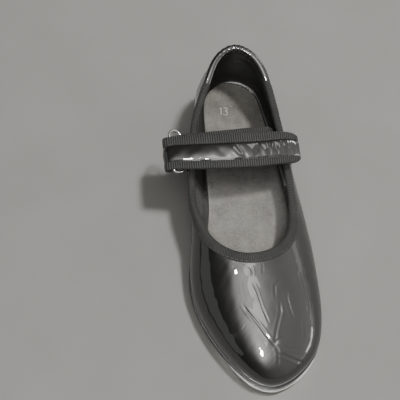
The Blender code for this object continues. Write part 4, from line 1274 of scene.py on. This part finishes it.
LINE, SPOTS, FOLD_FIRST, FOLD_LAST = strap_path()
RUNS = {
    "base": (slice(0, FOLD_FIRST + 1), "shoe"),
    "fold": (slice(FOLD_FIRST, FOLD_LAST + 1), None),
    "flap": (slice(FOLD_LAST, len(LINE)), "flap"),
}
ALONG = unit(np.gradient(LINE[:, :2], axis=0))
LEFT = SPOTS[-1] - SPOTS  # mm to the free tip
ROLL = FLAP_ROLL * np.array([over_instep(x) for x in LINE[:, 0]]) * (np.arange(len(LINE)) > FOLD_LAST)
TIP_SHRINK = np.sqrt(np.clip(1 - np.clip(1 - LEFT / 0.9, 0, 1) ** 2, 0.02, 1))


def strap_place(index, across, lift):
    """A point on the strap: a numbered place along it, mm across towards the heel, mm outward."""
    x, z, y = LINE[index]
    up_x, up_z = -ALONG[index][1], ALONG[index][0]
    across = narrowed(across, LEFT[index])
    lift = lift * TIP_SHRINK[index]
    return (x + up_x * lift, y + across, z + up_z * lift + ROLL[index] * across)


# x, z of the middle line where the bend starts and where it ends.
FOLD_BLEND = ((-40.8, 38.7), (-44.1, 44.5))


def strap_run(name, run, section_at, look, nodes=()):
    """One part of the strap's skin, from the outline that section_at gives at each place."""
    part, body = RUNS[run]
    sections, weave = [], []
    for index in range(len(LINE))[part]:
        outline = section_at(index)
        sections.append([strap_place(index, a, h) for a, h in outline])
        weave.append([(SPOTS[index], a + 0.7 * h, 0) for a, h in outline])
    obj = piece(name, *sweep(sections), look, body, nodes, np.array(weave))
    if run == "fold":
        start, end = in_frame([(x, STRAP_Y, z) for x, z in FOLD_BLEND])
        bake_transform(obj)


def tape_section(side, top_width=STRAP_TAPE_WIDTH):
    """The ribbed grosgrain folded over one edge of the strap, lapping top_width onto its face."""
    edge, inner, skin, core = STRAP_WIDTH / 2, STRAP_WIDTH / 2 - STRAP_TAPE_WIDTH, 1.12, 0.62
    turn = np.radians(np.linspace(90, -90, 7))
    arc = np.column_stack([edge - 0.95 + 0.95 * np.cos(turn), skin * np.sin(turn)])
    lap = edge - top_width
    top = [(lap, 0.72), (lap + 0.1, 1.0), (lap + 0.6, skin), (lap + 2.4, skin)]
    under = [(inner + 2.4, -skin), (inner + 0.7, -1.08), (inner + 0.12, -0.98), (inner, -0.72)]
    front = np.array(top + arc.tolist() + under)
    back = np.array([
        (inner, -core), (edge - 0.8, -core), (edge - 0.55, 0), (edge - 0.8, core), (lap, core),
    ])
    normal = outline_normals(front)

    def at(index):
        deep = 0.1 if index % 3 == 0 else -0.05
        outline = np.concatenate([front + normal * deep, back])
        return [(side * a, h) for a, h in outline]

    return at


# Waves of the flap's padding: mm from its tip, width, height, slant across the strap.
PUFF_WAVES = (
    (3.5, 0.9, 0.14, 0.05), (6.6, 0.9, -0.16, 0.08), (9.4, 0.9, 0.16, -0.1), (12.2, 0.8, -0.2, 0.1),
    (14.6, 0.8, 0.22, -0.1), (17.0, 0.7, -0.18, 0.15), (19.2, 0.8, 0.2, -0.2), (21.6, 0.9, -0.2, 0.25),
    (25.0, 1.4, 0.24, 0.3), (28.5, 1.3, -0.26, -0.3), (32.5, 2.0, 0.2, 0.4), (38.0, 1.6, -0.42, 0.5),
    (43.0, 2.6, 0.34, 0.6), (50.0, 2.6, -0.22, 0.8), (58.0, 4.0, 0.2, -0.4), (68.0, 3.2, -0.18, 0.2),
    (77.0, 3.0, 0.14, 0.1),
)
REAR_LAP = 6.3  # how far the flap's rear tape laps onto its face


BAND_HALF = 5.9  # half of what is padded up between tapes of equal width
PUFF_HEIGHT, PLAIN_PUFF = 0.95, 0.15


def core_section(puffed):
    """The patent band between the tapes, padded up between its two rows of stitches."""
    half = STRAP_WIDTH / 2 - 0.9
    low, high = -BAND_HALF, (STRAP_WIDTH / 2 - REAR_LAP + 0.1 if puffed else BAND_HALF)
    across = np.concatenate([[-half, -half + 0.2], np.linspace(low, high, 17), [half - 0.2, half]])
    place = (2 * across - low - high) / (high - low)

    def at(index):
        puff = np.clip(1 - place**2, 0, 1) ** 0.5
        height = 0.5 + (PUFF_HEIGHT if puffed else PLAIN_PUFF) * puff
        for middle, width, rise, slant in PUFF_WAVES if puffed else ():
            away = LEFT[index] - middle - slant * across
            height = height + rise * np.exp(-((away / width) ** 2)) * puff
        wave = ripple(np.column_stack([across, 0 * across + SPOTS[index], 0 * across]), 7.0, 41)
        height = height + 0.05 * wave * puff
        height[0] = height[-1] = 0.25
        top = list(zip(across, height))
        return top[::-1] + [(-half, -0.3), (-half + 0.3, -0.5), (half - 0.3, -0.5), (half, -0.3)]

    return at


def make_strap():
    """The strap's band, tapes, stitches and pads. The bend has no tape nodes of its own."""
    for run in RUNS:
        look = SATIN if run == "base" else PATENT_STRAP
        strap_run(f"strap_{run}_band", run, core_section(run != "base"), look, [f"strap_{run}"])
        for side, label in ((-1, "front"), (1, "rear")):
            nodes = [] if run == "fold" else [f"strap_{run}_tape_{label}"]
            lap = REAR_LAP if side > 0 and run != "base" else STRAP_TAPE_WIDTH
            strap_run(f"strap_{run}_grosgrain_{label}", run, tape_section(side, lap), GROSGRAIN, nodes)
    for run in ("base", "flap"):
        part, body = RUNS[run]
        indices = [i for i in range(len(LINE))[part] if LEFT[i] > 1.5]
        rows = []
        for side in (-1, 1):
            for face in (-1, 1):
                lap = REAR_LAP if (side, face, run) == (1, 1, "flap") else STRAP_TAPE_WIDTH
                spot = STRAP_WIDTH / 2 - lap + 0.6
                path = vectors([strap_place(i, side * spot, face * 1.18) for i in indices])
                under = vectors([strap_place(i, side * spot, 0) for i in indices])
                rows.append(stitch_row(path, unit(path - under), pitch=2.6, long=1.9))
        piece(f"strap_{run}_stitches", *join(rows), THREAD, body)
    make_pad("hook_tape", "hook_pad", "flap", 0.5, 0.78, HOOK)
    make_pad("loop_tape", "loop_pad", "base", 0.3, 0.72, LOOP)


def make_pad(name, node, run, first, last, look):
    """A hook or loop tape on the inward face of a strap run, between two shares of its length."""
    part, body = RUNS[run]
    indices = np.arange(len(LINE))[part]
    chosen = indices[int(first * len(indices)) : int(last * len(indices)) : 2]
    sections = []
    for number, index in enumerate(chosen):
        end = min(number, len(chosen) - 1 - number)
        half = 5.5 - 0.5 * max(0, 2 - end) ** 1.5
        outline = [
            (-half, -0.68), (-half, -1.25), (-half + 0.3, -1.46), (0, -1.5), (half - 0.3, -1.46),
            (half, -1.25), (half, -0.68),
        ]
        sections.append([strap_place(index, a, h) for a, h in outline])
    piece(name, *sweep(sections), look, body, [node])


# ---- ring and its tab -----------------------------------------------------------------------
def make_ring():
    """The wire ring, a rounded rectangle tilted up away from the shoe."""
    half_long = (RING_LENGTH - RING_WIRE) / 2 - RING_CORNER
    half_wide = RING_BAR_SPACING / 2 - RING_CORNER
    path = []
    for quarter, (sx, sy) in enumerate(((1, 1), (-1, 1), (-1, -1), (1, -1))):
        for angle in np.radians(90 * quarter + np.linspace(0, 90, 13)):
            path.append((
                sx * half_wide + RING_CORNER * math.cos(angle),
                sy * half_long + RING_CORNER * math.sin(angle),
            ))
    tilt = math.radians(RING_TILT)
    path = np.array(path)
    reach = RING_BAR_SPACING / 2 - path[:, 0]
    centre = np.column_stack([
        RING_INNER_BAR[0] - reach * math.cos(tilt), RING_Y + path[:, 1],
        RING_INNER_BAR[1] + reach * math.sin(tilt),
    ])
    along = unit(np.roll(centre, -1, 0) - np.roll(centre, 1, 0))
    up = np.array([math.sin(tilt), 0.0, math.cos(tilt)])
    side = unit(np.cross(along, up))
    turn = np.arange(18) * math.tau / 18
    sections = centre[:, None] + RING_WIRE / 2 * (
        side[:, None] * np.cos(turn)[:, None] + up * np.sin(turn)[:, None]
    )
    piece("ring_wire", *sweep(sections, closed=True), NICKEL, "ring", ["ring"])


def make_tab():
    """The patent loop that ties the ring to the medial quarter."""
    x, z = RING_INNER_BAR
    radius = RING_WIRE / 2 + GAP + TAB_THICKNESS / 2
    wrap = [
        (x + radius * math.cos(a), z + radius * math.sin(a)) for a in np.radians(np.linspace(-15, 205, 12))
    ]
    stand = 2 * GAP + BINDING_THICKNESS + TAB_THICKNESS / 2
    stations = np.linspace(MEDIAL_SEAM - 1, MEDIAL_SEAM + 1, 41)
    along_wall = wall(stations, np.full(41, 0.8))[:, 1]
    edges = [0, 0.25, *np.linspace(0.9, TAB_WIDTH - 0.9, 11), TAB_WIDTH - 0.25, TAB_WIDTH]
    edges = vectors(edges)
    pinch = np.interp(np.minimum(edges, TAB_WIDTH - edges), [0, 0.25, 0.9], [0.4, 0.85, 1.0])
    front, back = [], []
    for y, thick in zip(RING_Y - TAB_WIDTH / 2 + edges, pinch):
        at = np.interp(-y, -along_wall, stations)
        inner = inside(np.full(3, at), np.array([0.5, 0.64, 0.78]), -stand)
        outer = inside(np.full(2, at), np.array([0.56, 0.7]), -(stand + TAB_THICKNESS + GAP / 2))
        line = np.array([(p[0], p[2]) for p in inner] + wrap + [(p[0], p[2]) for p in outer[::-1]])
        line = open_spline(line, 60)
        along = unit(np.gradient(line, axis=0))
        up = np.stack([-along[:, 1], along[:, 0]], axis=-1) * TAB_THICKNESS / 2 * thick
        front.append([(q[0], y, q[1]) for q in line + up])
        back.append([(q[0], y, q[1]) for q in line - up])
    sections = np.concatenate([np.array(front), np.array(back)[::-1]], axis=0).transpose(1, 0, 2)
    piece("ring_tab_loop", *sweep(sections), PATENT, nodes=["ring_tab"])


# ---- frame nodes that keep their shape ------------------------------------------------------
def dress(node, look):
    """Gives a frame node that stays in view its material."""
    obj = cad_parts[node]
    obj.data.materials.clear()
    obj.data.materials.append(look[0])


for node, look in (
    ("insole_board", BOARD), ("bottom_filler", FELT), ("shank", STEEL),
    ("heel_counter", STIFF), ("toe_puff", STIFF),
):
    dress(node, look)

make_outsole()
make_heel()
make_toe_tap()
make_sock()
make_number()
make_upper()
make_linings()
make_ribbon()
make_collar()
make_strap()
make_ring()
make_tab()


# ---- studio ---------------------------------------------------------------------------------
def make_floor():
    """A pale floor."""
    size, steps = 2400.0, 60
    ticks = np.linspace(-size, size, steps)
    x, y = np.meshgrid(ticks, ticks, indexing="ij")
    points = np.dstack([x, y, 0 * x]).reshape(-1, 3)
    mesh = bpy.data.meshes.new("floor")
    mesh.from_pydata((points * MM).tolist(), [], grid_faces(steps, steps))
    made, add, drive = finish("floor_pale", Roughness=0.6, Specular_IOR_Level=0.3)
    spot = place_of(add)
    dark, light = (0.5, 0.49, 0.465), (0.54, 0.53, 0.505)
    drive("Base Color", tone(add, noise(add, spot, 0.02, 4), (0.3, dark), (0.7, light)))
    bump(add, drive, noise(add, spot, 0.45, 3), 0.25, 0.35)
    mesh.materials.append(made)
    floor = placed("floor", mesh)


CAMERA_SPOT = (-66.3, -175.0, 465.5)


def make_camera():
    """The photograph's view: a lens of 72 mm on a sensor 36 mm wide."""
    right = Vector((0.99442, -0.09353, 0.04866))
    up = Vector((0.06693, 0.91662, 0.39403))
    ahead = Vector((0.08146, 0.38857, -0.91777))
    data = bpy.data.cameras.new("camera")
    data.lens, data.sensor_width, data.sensor_fit = 72.0, 36.0, "HORIZONTAL"
    data.clip_start, data.clip_end = 0.01, 50.0
    camera = placed("camera", data)
    turn = Matrix((right, up, -ahead)).transposed().to_4x4()
    camera.matrix_world = Matrix.Translation(Vector(in_frame(CAMERA_SPOT)[0])) @ turn
    bpy.context.scene.camera = camera


LIT_SPOT = (0.0, -40.0, 30.0)


def panel(name, way, distance, width, height, strength):
    """A flat area light seen from the shoe in a direction, facing it. Distances in metres;
    strength is its brightness in watts per square metre."""
    way = Vector(way).normalized()
    data = bpy.data.lights.new(name, "AREA")
    data.shape = "RECTANGLE"
    data.size, data.size_y = width, height
    data.energy = strength * width * height
    lamp = placed(name, data)
    lamp.location = Vector(in_frame(LIT_SPOT)[0]) + way * distance
    lamp.rotation_mode = "QUATERNION"
    lamp.rotation_quaternion = way.to_track_quat("Z", "Y")
    return lamp


# Glows of the sky: direction, how narrow, brightness.
GLOWS = (
    ((0.95, -0.1, 0.5), 2.5, 1.0),
    ((-0.05, -0.12, 0.99), 16.0, 2.8),
    ((-0.18, -0.42, 0.89), 34.0, 1.4),
    ((0.1, -1.0, 0.3), 4.0, 0.15),
)
SKY_SHARE = 0.1  # how much of the sky lights matt surfaces
DIMMEST = 0.03


def make_sky():
    """A soft room: dim all over, with a few broad glows and nothing with an edge."""
    world = bpy.data.worlds.new("studio")
    world.use_nodes = True
    tree = world.node_tree
    add = node_adder(tree)
    spot = add("TexCoord").node.outputs["Generated"]
    total = DIMMEST
    for way, narrow, bright in GLOWS:
        ray = {0: spot, 1: tuple(Vector(way).normalized() * narrow)}
        dot = add("VectorMath", ray, operation="DOT_PRODUCT").node.outputs["Value"]
        lobe = math_node(add, "EXPONENT", math_node(add, "SUBTRACT", dot, narrow))
        total = math_node(add, "ADD", math_node(add, "MULTIPLY", lobe, bright), total)
    matt = add("LightPath").node.outputs["Is Diffuse Ray"]
    cut = math_node(add, "SUBTRACT", 1.0, math_node(add, "MULTIPLY", matt, 1.0 - SKY_SHARE))
    background = tree.nodes["Background"]
    background.inputs["Color"].default_value = (1.0, 0.98, 0.93, 1.0)
    tree.links.new(math_node(add, "MULTIPLY", total, cut), background.inputs["Strength"])
    bpy.context.scene.world = world


def make_lights():
    """The key light, two dim sides, and lamps that only the patent's reflections show."""
    key = panel("key", (0.3, 0.16, 0.94), 1.6, 0.18, 0.18, 420.0)
    key.visible_glossy = False
    panel("far_side", (-0.97, 0.0, 0.25), 2.0, 2.4, 0.85, 1.2)
    panel("near_side", (0.98, -0.1, 0.22), 2.0, 2.2, 0.35, 1.7)
    shine = (
        panel("ceiling", (0.06, -0.12, 0.98), 1.6, 0.34, 0.6, 7.0),
        panel("behind", (0.4, 0.5, 0.8), 1.7, 0.5, 0.4, 7.0),
        panel("heel_right", (0.72, 0.65, 0.2), 1.8, 0.4, 0.3, 35.0),
        panel("low_right", (0.94, -0.28, 0.2), 2.0, 0.7, 0.25, 15.0),
        panel("lamp_near", (-0.375, -0.024, 0.93), 1.6, 0.12, 0.1, 800.0),
        panel("lamp_toe", (-0.16, -0.42, 0.89), 1.6, 0.14, 0.17, 900.0),
    )
    for lamp in shine:
        lamp.visible_diffuse = False


make_floor()
make_camera()
make_sky()
make_lights()
